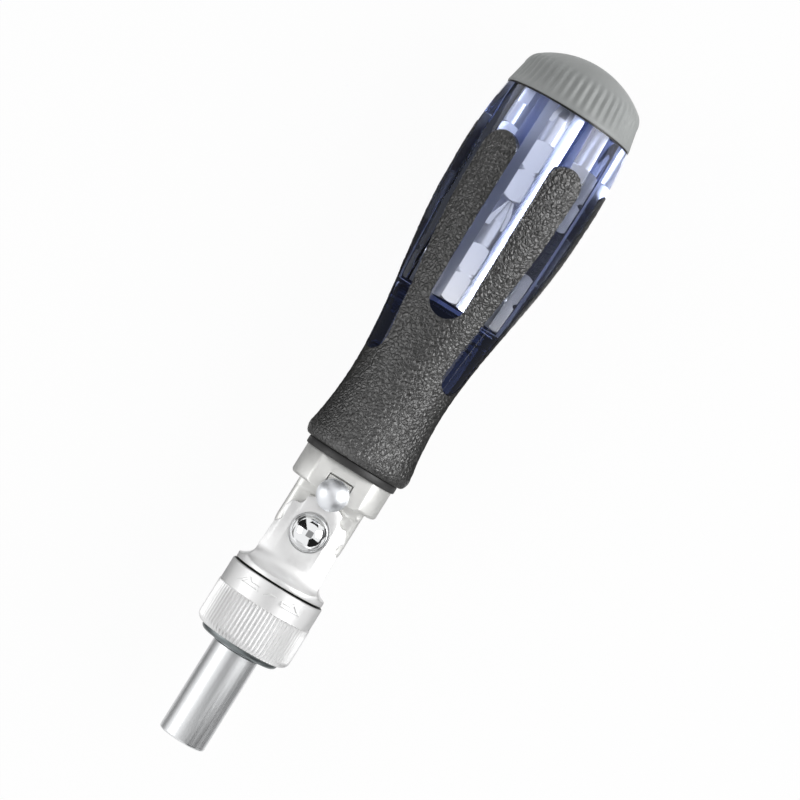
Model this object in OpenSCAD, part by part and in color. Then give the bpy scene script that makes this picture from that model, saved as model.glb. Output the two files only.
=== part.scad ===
// Ratcheting screwdriver with a swivelling head and bits stored in a clear handle.
// The tool lies on its back: +X points to the tip, +Z is up along the swivel pin, and the origin
// is the centre of the bit socket's mouth.
// Each piece is drawn on the tool's own axis and then laid down: on that axis z is the distance
// from the tip and y points to the front, where the lock button is.

/* [Bit holder] */
// Outside diameter of the bit holder
holder_d = 11; // [10:0.1:11.6]
// Length of the bit holder from its mouth to its shoulder
holder_len = 22.5; // [21:0.5:30]
// Width across the flats of the bit socket
socket_af = 6.45; // [6.4:0.01:6.6]
// Depth of the bit socket
socket_depth = 14; // [12:0.5:15]
// Diameter of the magnet at the bottom of the socket
magnet_d = 5.5; // [4:0.1:6]
// Length of the magnet
magnet_len = 4; // [2:0.5:5]
// Chamfer on the rim of the holder
holder_chamfer = 0.5; // [0.2:0.1:0.8]

/* [Ratchet] */
// Diameter of the spindle shaft in its bearing
shaft_d = 7.6; // [6.5:0.1:8.2]
// Number of teeth on the ratchet gear
gear_teeth = 24; // [24:2:26]
// Outside diameter of the ratchet gear
gear_d = 12.8; // [12.4:0.1:14]
// Length of the ratchet gear
gear_len = 6.2; // [5.6:0.1:8]
// Depth of the gaps between the gear's teeth
tooth_depth = 1.05; // [0.95:0.05:1.15]
// Radial room for the pawls between the gear and the outside of the hub
pawl_room = 3; // [2.9:0.1:4]
// Height of a pawl along the tool
pawl_len = 3.5; // [2.5:0.1:3.8]
// Diameter of the pins that the pawls rock on
pawl_pin_d = 1.5; // [1.2:0.1:1.6]
// How far a pawl rocks each way
pawl_rock = 5.3; // [4:0.1:5.5]
// Diameter of the detent ball
ball_d = 2; // [1.6:0.1:2.2]

/* [Nose plate] */
// Height of the nose plate's lip
nose_len = 2.4; // [1.6:0.1:4]
// Radius at the foot of the lip
nose_foot_r = 7.7; // [7:0.1:9]
// Height of the spigot that closes the gear chamber
spigot_len = 1.1; // [0.6:0.1:2]

/* [Selector ring] */
// Wall of the ring at the knurl's crests
ring_wall = 1.84; // [1.7:0.02:3]
// Length of the ring
ring_len = 14; // [13.6:0.1:18]
// Length of the knurled part
knurl_len = 8.6; // [6:0.1:9]
// Number of knurl ridges
knurl_count = 72; // [48:4:96]
// Depth of the knurl
knurl_depth = 0.35; // [0.2:0.05:0.45]
// How far the ring turns each way
select_turn = 15; // [10:1:16]
// Height of the raised direction marks on the band
mark_h = 0.14; // [0.05:0.01:0.15]

/* [Swivel head] */
// Length of the head's round flange
flange_len = 1.1; // [0.6:0.1:3]
// Distance from the flange to the swivel pin
pivot_reach = 11.5; // [11:0.1:15]
// Width of the head's slab
slab_w = 16; // [14:0.1:17]
// Thickness of the head's slab
slab_t = 13; // [12.4:0.1:14]
// Diameter of the swivel pin
pin_d = 5; // [4:0.1:6]
// Diameter of the pin's domed head
dome_d = 8.2; // [7.5:0.1:9]
// Height of the pin's domed head
dome_h = 2.8; // [2:0.1:3]
// Height of the rear head of the pin
rear_head_h = 1.5; // [1:0.1:2]
// Radius of a lock notch
notch_r = 1.5; // [1.3:0.05:1.7]
// Depth of a lock notch
notch_depth = 1.1; // [0.9:0.05:1.3]
// Angle between two lock notches
notch_step = 45; // [30:15:45]
// Thickness of a pivot washer
washer_t = 0.3; // [0.2:0.05:0.6]

/* [Ferrule] */
// Outside diameter of the ferrule
ferrule_d = 21; // [19.6:0.1:21.6]
// Thickness over the ferrule's two flats
ferrule_t = 16.8; // [15.6:0.1:18]
// Length of the ferrule
ferrule_len = 7; // [6.8:0.1:10]
// Rounding of the ferrule's lower edge
ferrule_round = 0.9; // [0.3:0.1:1.2]
// Thickness of the tongue between the cheeks
tongue_t = 5; // [4:0.1:5.4]
// Distance from the swivel pin to the shoulder on the tongue
shoulder_reach = 6.3; // [6:0.1:7]
// Width across the flats of the tang inside the handle
tang_af = 12.5; // [12:0.1:14]
// Length of the tang
tang_len = 22; // [14:0.5:26]

/* [Lock] */
// Width of the sliding lock block
slider_w = 6; // [5:0.1:6.6]
// Length of the sliding lock block
slider_len = 6.6; // [6:0.1:6.8]
// Travel of the lock into a notch
lock_travel = 1.1; // [0.8:0.05:1.15]
// Travel of the lock away from the notch
lock_back = 0.3; // [0.1:0.05:0.4]
// Diameter of the lock button
button_d = 7.1; // [6:0.1:7.6]
// Height of the lock button's dome
button_h = 2.25; // [1.5:0.05:3]
// Diameter of the button's stem
stem_d = 3.4; // [2.5:0.1:4]
// Length of the lock spring
lock_spring_len = 6; // [4:0.1:8]

/* [Grip] */
// Radius of the smooth collar under the grip
collar_r = 10.97; // [10.6:0.01:11.3]
// Length of the smooth collar
collar_len = 1.8; // [1:0.1:3]
// Radius of the grip's flared lip
lip_r = 12.63; // [12:0.01:13.5]
// Height of the lip's rounding
lip_len = 2.6; // [1.5:0.1:3]
// Radius of the grip's waist
waist_r = 11.2; // [10.9:0.1:12]
// Distance from the lip to the waist
neck_len = 15; // [10:0.5:20]
// Length of the swell from the waist to the belly
swell_len = 48; // [40:1:60]
// Greatest radius of the handle
belly_r = 16.4; // [15.8:0.1:18]
// Thickness of the rubber
rubber_t = 1.8; // [1.2:0.1:2]
// How far the clear ribs lie below the rubber
rib_drop = 0.2; // [0:0.05:0.4]
// Width of a clear rib
rib_w = 8.1; // [7:0.1:8.6]
// Distance from the waist to the foot of the three long ribs
long_rib_foot = 4.8; // [3:0.1:10]
// Distance from the waist to the foot of the three short ribs
short_rib_foot = 18; // [12:0.5:20]

/* [Handle body] */
// Distance from the belly's start to its greatest radius
belly_len = 6; // [3:0.5:9]
// Distance from the greatest radius to the cap's seat
crown_len = 15; // [12:0.5:20]
// Radius of the handle at the cap's seat
rim_r = 15.3; // [14.9:0.1:16]
// Distance from the greatest radius to the middle of the rubber finger ends
finger_end = 0.4; // [0:0.1:3]
// Radius of the spigot that the cap is pushed on
cap_spigot_r = 13.4; // [13.2:0.05:13.5]
// Length of that spigot
cap_spigot_len = 4.5; // [3:0.1:5]
// How far the handle is turned about its axis, seen from the front
handle_turn = -4.4; // [-30:0.1:30]
// Number of bit channels
channel_count = 6; // [6:1:6]
// Width across the flats of a bit channel
channel_af = 6.7; // [6.5:0.05:6.8]
// Distance of a bit channel from the axis
channel_r = 8.8; // [8.5:0.05:9]
// Distance from the waist to the floor of the bit channels
channel_floor = 21.6; // [20:0.1:22]

/* [Bits] */
// Width across the flats of a bit
bit_af = 6.35; // [6.2:0.05:6.35]
// Length of a bit
bit_len = 25; // [22:0.1:25.2]
// Length of a bit's hex shank
shank_len = 14; // [10:0.1:16]
// Diameter of a bit's round neck
tip_d = 4.7; // [4:0.1:5]
// Thickness of a flat blade at its end
blade_t = 0.9; // [0.6:0.1:1.2]
// Width across the flats of a hexagon tip
hex_tip_af = 4; // [3:0.1:4]

/* [End cap] */
// Wall of the cap
cap_wall = 1.8; // [1.2:0.1:2.2]
// Height of the cap's skirt
skirt_len = 5.1; // [4.6:0.1:8]
// How far the skirt draws in over its height
skirt_draw = 1.1; // [0.5:0.1:1.6]
// Radius of the rounding between the skirt and the dome
cap_round = 4; // [2:0.1:5]
// Height of the dome above the skirt
dome_rise = 7.5; // [6:0.1:9]
// Number of ribs on the skirt
cap_ribs = 48; // [36:4:60]
// Depth of the grooves between those ribs
cap_rib_depth = 0.25; // [0.1:0.05:0.4]
// Thickness of the gasket under the cap
gasket_t = 0.35; // [0.2:0.05:0.6]

/* [Fits] */
// Gap round a pressed piece
press_gap = 0.02; // [0.01:0.01:0.03]
// Gap round a shaft or pin that turns
turn_gap = 0.05; // [0.02:0.01:0.08]
// Gap between pieces that slide on each other
slide_gap = 0.1; // [0.06:0.01:0.15]
// Gap between pieces that pass each other
clear_gap = 0.3; // [0.25:0.05:0.35]
// Seam between the selector ring and the head
seam_gap = 0.4; // [0.2:0.05:0.6]

/* [Hidden] */
$fn = 96;
// Overlap of joined shapes
eps = 0.01;
// A length past the end of any piece
far = 60;

// Small steps between neighbouring surfaces
cheek_draw = 0.2;
tongue_proud = 0.1;
ferrule_gap = 1;
band_step = 0.15;
flange_step = 0.6;
neck_step = 0.5;
button_set = 0.4;
raised_step = 0.25;
heel_len = 1.5;
stem_wall = 0.6;
stem_floor = 0.2;
nose_slack = 0.15;

// Places along the tool, from the tip
z_shoulder = holder_len;
z_nose = z_shoulder + seam_gap;
z_hub = z_nose + nose_len;
z_ring = z_hub + slide_gap * 2;
z_ring_end = z_ring + ring_len;
z_flange = z_ring_end + seam_gap;
z_slab = z_flange + flange_len;
z_pivot = z_slab + pivot_reach;
z_gear = z_hub + spigot_len + clear_gap;
z_chamber_end = z_gear + gear_len + clear_gap;
z_pocket = z_gear + clear_gap;
z_pawl = z_pocket + clear_gap;
z_pawl_end = z_pawl + pawl_len;
z_bearing_end = z_flange - clear_gap;
z_shaft_end = z_bearing_end - clear_gap;

// Swivel head and tongue
cheek_end_r = slab_w / 2 - cheek_draw;
tongue_r = slab_w / 2 + tongue_proud;
slot_half = tongue_t / 2 + washer_t + 2 * turn_gap;
slot_floor = z_pivot - tongue_r - clear_gap * 2;
z_ferrule = z_pivot + tongue_r + ferrule_gap;
z_tang = z_ferrule + ferrule_len;
pad_half = tongue_t / 2 + clear_gap;
washer_margin = 1;
dome_rim = 0.25;
pin_share = 0.5;
rear_rim_share = 0.4;
z_pad = z_pivot + shoulder_reach;

// Lock: the slider lies in front of the tongue and behind the ferrule's flat
slider_back = pad_half + clear_gap;
slider_front = slab_t / 2 - clear_gap;
slider_top = ferrule_t / 2 - clear_gap;
nose_r = notch_r - nose_slack;
z_lock_nose = z_pivot + cheek_end_r - notch_depth + slide_gap * 2 + lock_travel;
z_lock_end = z_lock_nose + slider_len;
z_lock_pocket = z_lock_end + lock_back + slide_gap;
window_gap = slide_gap * 2;
raised_w = slider_w - 2 * raised_step;
z_raised = z_lock_nose + nose_r;
z_raised_end = z_lock_end - heel_len;
z_window_end = z_raised_end + lock_back + slide_gap / 2;
z_button = z_ferrule + button_set;
foot_back = slab_t / 2 + clear_gap;
z_foot = z_button - stem_d / 2 - stem_wall;
stem_back = foot_back + stem_floor;
lock_spring_r = 0.85;
lock_wire_r = 0.18;
lock_spring_y = (slider_back + slider_front) / 2 - clear_gap;

// Hub, selector ring and pawls
gear_r = gear_d / 2;
chamber_r = gear_r + clear_gap + press_gap;
hub_r = gear_r + pawl_room;
ring_in_r = hub_r + turn_gap;
ring_r = ring_in_r + ring_wall;
band_r = ring_r - band_step;
flange_r = ring_r - flange_step;
neck_r = holder_d / 2 - neck_step;
neck_stub_r = 3;
stub_web = 0.5;
z_stub = socket_depth + magnet_len + stub_web;

// A pawl: pivot, arm end, tooth and tail as points round the axis
tooth_pitch = 360 / gear_teeth;
pawl_track_r = gear_r + pawl_room / 2;
pawl_pivot_a = -35;
pawl_tooth_a = tooth_pitch / 2;
pawl_tail_a = -50;
pawl_tail_tip = 0.35;
pawl_tail_proud = 0.15;
pawl_tip = 0.3;
pawl_bite = 0.4;
pocket_margin = 8;
pin_seat = 1;
pawl_pivot = polar(pawl_track_r, pawl_pivot_a);
pawl_arm_end = polar(pawl_track_r, pawl_tooth_a);
pawl_tooth = polar(gear_r - pawl_bite + pawl_tip, pawl_tooth_a);
pawl_tail = polar(hub_r + pawl_tail_proud, pawl_tail_a);
pocket_from = pawl_tail_a - pocket_margin;
pocket_to = pawl_tooth_a + pocket_margin;

// The ring's ramps push a tail out as fast as the pawl rocks
tail_arm = pawl_tail - pawl_pivot;
tail_speed = (-tail_arm[1] * cos(pawl_tail_a) + tail_arm[0] * sin(pawl_tail_a)) * PI / 180;
ramp_slope = tail_speed * pawl_rock / select_turn;
ramp_r = hub_r + pawl_tail_proud + pawl_tail_tip + slide_gap;
ramp_margin = 5;
ramp_reach = select_turn + ramp_margin;

// Detent of the ring, at the back of the hub
z_detent = (z_chamber_end + z_flange) / 2;
detent_groove = 0.3;
detent_dimple = 0.4;
detent_floor = 1.6;
detent_groove_r = ring_in_r + detent_groove;
ball_top_r = detent_groove_r - turn_gap;
ball_r = ball_d / 2;
detent_floor_r = shaft_d / 2 + turn_gap + detent_floor;

// Handle profile: the swell is as long as two standard bits need, and grows with longer ones
standard_bit_len = 25;
bit_end_gap = 0.1;
bit_growth = 2 * (bit_len - standard_bit_len);
tip_len = bit_len - shank_len;
tip_r = tip_d / 2;
z_collar = z_tang;
z_grip = z_collar + collar_len;
z_lip = z_grip + lip_len;
z_waist = z_lip + neck_len;
z_swell = z_waist + swell_len + bit_growth;
z_belly = z_swell + belly_len;
z_seat = z_belly + crown_len;
z_finger = z_belly + finger_end;
z_channel = z_waist + channel_floor;
collar_wall = 1.8;
collar_in_r = lip_r - rubber_t - collar_wall;
crown_bend = (belly_r - rim_r) / pow(crown_len, 2);
swell_top_r = crown_r(z_swell);
finger_half_a = 180 / channel_count - asin(rib_w / 2 / crown_r(z_finger));
finger_r = crown_r(z_finger) * sin(finger_half_a);
lip_round = 1.2;

// Cap profile
z_cap = z_seat + gasket_t + turn_gap;
z_skirt_end = z_cap + skirt_len;
z_apex = z_skirt_end + dome_rise;
cap_in_r = cap_spigot_r + slide_gap;
skirt_top_r = rim_r - skirt_draw;
round_r = skirt_top_r - cap_round;
// Radius of the dome that touches the rounding and passes through the apex
dome_r = (pow(round_r, 2) + pow(dome_rise, 2) - pow(cap_round, 2)) / (2 * (dome_rise - cap_round));
z_dome = z_apex - dome_r;
round_end_a = atan2(z_skirt_end - z_dome, round_r);

function polar(r, a) = [r * cos(a), r * sin(a)];
function ease(t) = t * t * (3 - 2 * t);

// Outer radius of the grip and the handle body at a distance from the tip
function crown_r(z) = belly_r - crown_bend * pow(z - z_belly, 2);
function body_r(z) =
    z < z_lip ? lip_r
    : z < z_waist ? waist_r + (lip_r - waist_r) * pow(1 - (z - z_lip) / neck_len, 2)
    : z < z_swell ? waist_r + (swell_top_r - waist_r) * ease((z - z_waist) / (z_swell - z_waist))
    : crown_r(z);

// Lay a piece that was drawn on the tool's axis down on its back
module lay() {
    rotate([90, 0, -90]) children();
}

// Copy a shape to the other side of the tool
module both_sides() {
    children();
    mirror([1, 0, 0]) children();
}

// Turn a shape to one of the bit channels or to a finger between two channels
module at_channel(k) {
    rotate([0, 0, handle_turn + k * 360 / channel_count]) children();
}

// A bar with round ends of two radii, drawn with its true tangents
module link_2d(p, p_r, q, q_r) {
    d = q - p;
    lean = atan2(d[1], d[0]);
    side = acos((p_r - q_r) / norm(d));
    translate(p) circle(r = p_r);
    translate(q) circle(r = q_r);
    polygon([
        p + polar(p_r, lean - side), q + polar(q_r, lean - side),
        q + polar(q_r, lean + side), p + polar(p_r, lean + side)
    ]);
}

// A slice of a ring between two angles
module sector_2d(r_in, r_out, from, to) {
    step = (to - from) / 8;
    polygon(concat(
        [for (i = [0:8]) polar(r_in, from + i * step)],
        [for (i = [8:-1:0]) polar(r_out, from + i * step)]
    ));
}

// A hexagonal prism given by its width across flats
module hex_prism(af, h) {
    cylinder(d = af / cos(30), h = h, $fn = 6);
}

// A flat-topped dome: a slice of a sphere with a given foot radius and height
module dome(r, h) {
    ball = (r * r + h * h) / (2 * h);
    intersection() {
        translate([0, 0, h - ball]) sphere(r = ball);
        cylinder(r = r + eps, h = h + eps);
    }
}

// A round wire wound into an open coil along z
module coil(mean_r, wire_r, length, turns) {
    sides = 6;
    rings = turns * 8;
    rise = length - 2 * wire_r;
    points = [for (i = [0:rings], j = [0:sides - 1])
        let (a = i * 45, b = j * 360 / sides, r = mean_r + wire_r * cos(b))
        [r * cos(a), r * sin(a), wire_r + rise * i / rings + wire_r * sin(b)]];
    faces = concat(
        [for (j = [1:sides - 2]) [0, j, j + 1]],
        [for (i = [0:rings - 1], j = [0:sides - 1])
            [i * sides + j, (i + 1) * sides + j, (i + 1) * sides + (j + 1) % sides]],
        [for (i = [0:rings - 1], j = [0:sides - 1])
            [i * sides + j, (i + 1) * sides + (j + 1) % sides, i * sides + (j + 1) % sides]],
        [for (j = [1:sides - 2]) [rings * sides, rings * sides + j + 1, rings * sides + j]]
    );
    polyhedron(points, faces);
}

// Bit holder: a steel tube with a hex socket, pressed on the spindle
module bit_holder() {
    lead = 0.3;
    color("silver") lay() difference() {
        rotate_extrude() polygon([
            [0, 0], [holder_d / 2 - holder_chamfer, 0], [holder_d / 2, holder_chamfer],
            [holder_d / 2, z_shoulder], [0, z_shoulder]
        ]);
        translate([0, 0, -eps]) hex_prism(socket_af, socket_depth + eps);
        translate([0, 0, -eps])
            cylinder(d1 = socket_af / cos(30) + 2 * lead, d2 = socket_af - lead, h = 2 * lead);
        cylinder(d = magnet_d + 2 * press_gap, h = socket_depth + magnet_len + press_gap);
        translate([0, 0, z_stub - press_gap])
            cylinder(r = neck_stub_r + press_gap, h = z_shoulder - z_stub + 1);
    }
}

module bit_magnet() {
    color("dimgray") lay() translate([0, 0, socket_depth])
        cylinder(d = magnet_d, h = magnet_len);
}

// Spindle: stub in the holder, neck through the nose plate, shaft in the bearing
module spindle_shaft() {
    color("gray") lay() {
        translate([0, 0, z_stub]) cylinder(r = neck_stub_r, h = z_gear - z_stub);
        translate([0, 0, z_shoulder]) cylinder(r = neck_r, h = z_gear - z_shoulder);
        translate([0, 0, z_gear - eps]) cylinder(d = shaft_d, h = z_shaft_end - z_gear + eps);
    }
}

// Ratchet gear with round-bottomed gaps
module ratchet_gear() {
    gap_r = 0.55;
    color("gray") lay() translate([0, 0, z_gear]) linear_extrude(gear_len) difference() {
        circle(r = gear_r);
        circle(d = shaft_d + 2 * press_gap);
        for (i = [0:gear_teeth - 1]) rotate((i + 0.5) * tooth_pitch) {
            translate([gear_r - tooth_depth + gap_r, 0]) circle(r = gap_r, $fn = 24);
            translate([gear_r - tooth_depth + gap_r, -gap_r]) square([tooth_depth, 2 * gap_r]);
        }
    }
}

// Nose plate: a lip under the ring and a spigot that closes the gear chamber
module nose_plate() {
    edge_round = nose_len / 2;
    color("dimgray") lay() difference() {
        union() {
            translate([0, 0, z_nose]) rotate_extrude() polygon(concat(
                [[0, 0], [nose_foot_r, 0]],
                [for (a = [0:15:90]) [
                    flange_r - edge_round * (1 - sin(a)),
                    nose_len - edge_round * cos(a)
                ]],
                [[0, nose_len]]
            ));
            translate([0, 0, z_hub - eps])
                cylinder(r = chamber_r - press_gap, h = spigot_len + eps);
        }
        cylinder(r = neck_r + turn_gap, h = far);
    }
}

// One cut in the ring for a pawl's tail, deeper the further it is turned
module tail_ramp_2d() {
    step = ramp_reach / 4;
    polygon(concat(
        [for (i = [-4:4]) polar(hub_r - ring_wall / 4, pawl_tail_a + i * step)],
        [for (i = [4:-1:-4]) polar(ramp_r - ramp_slope * i * step, pawl_tail_a + i * step)]
    ));
}

// Outline of the knurl: flat crests and flat valleys
module knurl_2d() {
    pitch = 360 / knurl_count;
    polygon([for (i = [0:knurl_count - 1], p = [[0, 1], [0.42, 1], [0.58, 0], [0.84, 0]])
        polar(ring_r - knurl_depth * (1 - p[1]), (i + p[0]) * pitch)]);
}

// Direction marks on the front of the band, standing along the tool
module marks_2d() {
    arrow_x = 3.2;
    arrow_l = 3.2;
    arrow_w = 1.8;
    tail_l = 0.9;
    tail_w = 0.35;
    bar = [0.5, 1.6];
    both_sides() {
        translate([arrow_x, 0])
            polygon([[0, arrow_w / 2], [arrow_l, arrow_w / 2], [0, -arrow_w / 2]]);
        translate([arrow_x - tail_l, arrow_w / 2 - tail_w]) square([tail_l + eps, tail_w]);
    }
    square(bar, center = true);
}

// Selector ring: knurl, smooth band, ramps for the pawls and a groove for the detent ball
module selector_ring() {
    edge = 0.5;
    color("gainsboro") lay() difference() {
        union() {
            intersection() {
                translate([0, 0, z_ring]) linear_extrude(knurl_len) knurl_2d();
                translate([0, 0, z_ring])
                    cylinder(r1 = ring_r - edge, r2 = ring_r + knurl_len - edge, h = knurl_len);
            }
            translate([0, 0, z_ring + knurl_len - eps])
                cylinder(r = band_r, h = ring_len - knurl_len + eps);
            intersection() {
                translate([0, 0, z_ring + knurl_len + (ring_len - knurl_len) / 2])
                    rotate([-90, 0, 0]) linear_extrude(far) marks_2d();
                translate([0, 0, z_ring + knurl_len])
                    cylinder(r = band_r + mark_h, h = ring_len - knurl_len);
            }
        }
        cylinder(r = ring_in_r, h = far);
        translate([0, 0, z_ring - eps]) linear_extrude(z_pawl_end + clear_gap - z_ring + eps)
            both_sides() tail_ramp_2d();
        translate([0, 0, z_detent - ball_r]) cylinder(r = detent_groove_r, h = ball_d);
        for (a = [-select_turn, 0, select_turn]) rotate(a)
            translate([0, -ball_top_r + ball_r - detent_dimple, z_detent])
                sphere(r = ball_r + turn_gap);
    }
}

// One pawl: a boss on its pin, an arm with a tooth and a short tail
module pawl_shape() {
    boss_r = 1.2;
    arm_r = 0.6;
    arm_end_r = 0.55;
    tooth_r = 0.5;
    tail_r = 0.9;
    translate([0, 0, z_pawl]) linear_extrude(pawl_len) difference() {
        union() {
            translate(pawl_pivot) circle(r = boss_r);
            link_2d(pawl_pivot, arm_r, pawl_arm_end, arm_end_r);
            link_2d(pawl_arm_end, tooth_r, pawl_tooth, pawl_tip);
            link_2d(pawl_pivot, tail_r, pawl_tail, pawl_tail_tip);
        }
        translate(pawl_pivot) circle(d = pawl_pin_d + 2 * turn_gap);
    }
}

module pawl_left() {
    color("slategray") lay() pawl_shape();
}

module pawl_right() {
    color("slategray") lay() mirror([1, 0, 0]) pawl_shape();
}

module pawl_pins() {
    color("silver") lay() both_sides() translate(pawl_pivot) translate([0, 0, z_hub + clear_gap])
        cylinder(d = pawl_pin_d, h = z_chamber_end + pin_seat - z_hub - clear_gap, $fn = 48);
}

module pawl_springs() {
    wire = 0.17;
    mean_r = (pawl_pin_d / 2 + turn_gap + wire) / cos(22.5);
    room = z_chamber_end - z_pawl_end;
    color("silver") lay() both_sides()
        translate(pawl_pivot) translate([0, 0, z_pawl_end + slide_gap])
            coil(mean_r, wire, room - 2 * slide_gap, 3);
}

module detent_ball() {
    color("silver") lay() translate([0, -ball_top_r + ball_r, z_detent]) sphere(r = ball_r);
}

module detent_spring() {
    wire = 0.15;
    coil_share = 0.7;
    length = ball_top_r - ball_d - detent_floor_r;
    color("silver") lay() translate([0, -detent_floor_r, z_detent]) rotate([90, 0, 0])
        coil(ball_r * coil_share, wire, length, 4);
}

// Outline of the head from the front: flange, concave shoulders, slab and round end
module head_front_2d() {
    fillet = flange_r - slab_w / 2;
    difference() {
        union() {
            translate([-flange_r, 0]) square([2 * flange_r, flange_len + fillet]);
            translate([-slab_w / 2, 0]) square([slab_w, flange_len + pivot_reach]);
            translate([0, flange_len + pivot_reach]) circle(r = cheek_end_r);
        }
        both_sides() translate([flange_r, flange_len + fillet]) circle(r = fillet);
        for (a = [-90:notch_step:90]) translate([0, flange_len + pivot_reach])
            rotate(a) translate([0, cheek_end_r + notch_r - notch_depth]) circle(r = notch_r);
    }
}

// Outline of the head from the side
module head_side_2d() {
    fillet = flange_r - slab_t / 2;
    difference() {
        union() {
            translate([-flange_r, 0]) square([2 * flange_r, flange_len + fillet]);
            translate([-slab_t / 2, 0]) square([slab_t, far]);
        }
        both_sides() translate([flange_r, flange_len + fillet]) circle(r = fillet);
    }
}

// Swivel head: ratchet hub, flange and two cheeks in one casting
module head_yoke() {
    color("whitesmoke") lay() difference() {
        union() {
            translate([0, 0, z_hub]) cylinder(r = hub_r, h = z_flange - z_hub + eps);
            intersection() {
                translate([0, 0, z_flange]) cylinder(r = flange_r, h = far);
                translate([0, far / 2, z_flange]) rotate([90, 0, 0])
                    linear_extrude(far) head_front_2d();
                translate([-far / 2, 0, z_flange]) rotate([90, 0, 90])
                    linear_extrude(far) head_side_2d();
            }
        }
        translate([-far / 2, -slot_half, slot_floor]) cube([far, 2 * slot_half, far]);
        translate([0, 0, z_pivot]) rotate([90, 0, 0])
            cylinder(d = pin_d + 2 * press_gap, h = far, center = true);
        translate([0, 0, z_hub - eps]) cylinder(r = chamber_r, h = z_chamber_end - z_hub + eps);
        translate([0, 0, z_hub])
            cylinder(d = shaft_d + 2 * turn_gap, h = z_bearing_end - z_hub);
        both_sides() {
            translate([0, 0, z_pocket]) linear_extrude(z_chamber_end - z_pocket)
                sector_2d(chamber_r - clear_gap, hub_r + ring_wall / 2, pocket_from, pocket_to);
            translate(pawl_pivot) translate([0, 0, z_hub - eps])
                cylinder(d = pawl_pin_d + 2 * press_gap, h = z_chamber_end + pin_seat + slide_gap - z_hub);
        }
        translate([0, -detent_floor_r, z_detent]) rotate([90, 0, 0])
            cylinder(d = ball_d + 2 * turn_gap, h = far);
    }
}

// Swivel pin with its domed chrome head
module pivot_pin() {
    rim_h = 0.5;
    pin_end = slab_t / 2 + rear_head_h * pin_share;
    color("silver") lay() translate([0, 0, z_pivot]) rotate([-90, 0, 0]) {
        translate([0, 0, -pin_end]) cylinder(d = pin_d, h = pin_end + slab_t / 2 + eps);
        translate([0, 0, slab_t / 2]) cylinder(d = dome_d, h = rim_h);
        translate([0, 0, slab_t / 2 + rim_h - eps])
            dome(dome_d / 2 - dome_rim, dome_h - rim_h + eps);
    }
}

// Rear head of the pin, pressed on its end
module pivot_end_cap() {
    rim_h = rear_head_h * rear_rim_share;
    color("silver") lay() translate([0, -slab_t / 2, z_pivot]) rotate([90, 0, 0]) difference() {
        union() {
            cylinder(d = dome_d, h = rim_h);
            translate([0, 0, rim_h - eps])
                dome(dome_d / 2 - dome_rim, rear_head_h - rim_h + eps);
        }
        translate([0, 0, -eps])
            cylinder(d = pin_d + 2 * press_gap, h = rear_head_h * pin_share + press_gap + eps);
    }
}

module pivot_washers() {
    color("goldenrod") lay() for (side = [-1, 1])
        translate([0, side * (tongue_t / 2 + turn_gap + washer_t / 2), z_pivot])
            rotate([90, 0, 0]) difference() {
                cylinder(r = shoulder_reach - washer_margin, h = washer_t, center = true);
                cylinder(d = pin_d + 2 * turn_gap, h = far, center = true);
            }
}

// Outline of the ferrule's wall with its rounded lower edge
module ferrule_profile_2d() {
    r = ferrule_d / 2;
    polygon(concat(
        [[0, 0]],
        [for (a = [0:15:90]) [
            r - ferrule_round * (1 - sin(a)),
            ferrule_round * (1 - cos(a))
        ]],
        [[r, ferrule_len], [0, ferrule_len]]
    ));
}

// Ferrule: collar with two flats, tongue on the swivel pin and tang in the handle
module ferrule() {
    color("lightgray") lay() difference() {
        union() {
            intersection() {
                translate([0, 0, z_ferrule]) rotate_extrude() ferrule_profile_2d();
                translate([-far / 2, -ferrule_t / 2, 0]) cube([far, ferrule_t, 2 * far]);
            }
            translate([0, tongue_t / 2, z_pivot]) rotate([90, 0, 0]) linear_extrude(tongue_t) {
                circle(r = tongue_r);
                translate([-tongue_r, 0]) square([2 * tongue_r, z_ferrule + ferrule_round - z_pivot]);
            }
            translate([-tongue_r, -pad_half, z_pad])
                cube([2 * tongue_r, 2 * pad_half, z_ferrule + ferrule_round - z_pad]);
            translate([0, 0, z_tang - eps]) rotate(30) hex_prism(tang_af, tang_len + eps);
        }
        translate([0, 0, z_pivot]) rotate([90, 0, 0])
            cylinder(d = pin_d + 2 * turn_gap, h = far, center = true);
        translate([-slider_w / 2 - slide_gap, slider_back - slide_gap, z_ferrule - eps])
            cube([
                slider_w + 2 * slide_gap, slider_front - slider_back + 2 * slide_gap,
                z_lock_pocket - z_ferrule + eps
            ]);
        translate([-raised_w / 2 - window_gap, slider_front, z_ferrule - eps])
            cube([raised_w + 2 * window_gap, far, z_window_end - z_ferrule + eps]);
        translate([0, lock_spring_y, z_lock_pocket - eps])
            cylinder(r = lock_spring_r + lock_wire_r + slide_gap, h = lock_spring_len + eps);
    }
}

// Lock slider: a block with a round nose, a raised part in the window and a foot for the button
module lock_slider() {
    depth = slider_front - slider_back;
    color("gainsboro") lay() difference() {
        union() {
            translate([0, slider_front, z_lock_nose + nose_r]) rotate([90, 0, 0])
                cylinder(r = nose_r, h = depth);
            translate([-nose_r, slider_back, z_lock_nose + nose_r])
                cube([2 * nose_r, depth, heel_len]);
            translate([-slider_w / 2, slider_back, z_raised])
                cube([slider_w, depth, z_lock_end - z_raised]);
            translate([-raised_w / 2, slider_back, z_raised])
                cube([raised_w, slider_top - slider_back, z_raised_end - z_raised]);
            translate([-raised_w / 2, foot_back, z_foot])
                cube([raised_w, slider_top - foot_back, z_raised_end - z_foot]);
        }
        translate([0, stem_back - press_gap, z_button]) rotate([-90, 0, 0])
            cylinder(d = stem_d + 2 * press_gap, h = far);
    }
}

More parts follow.
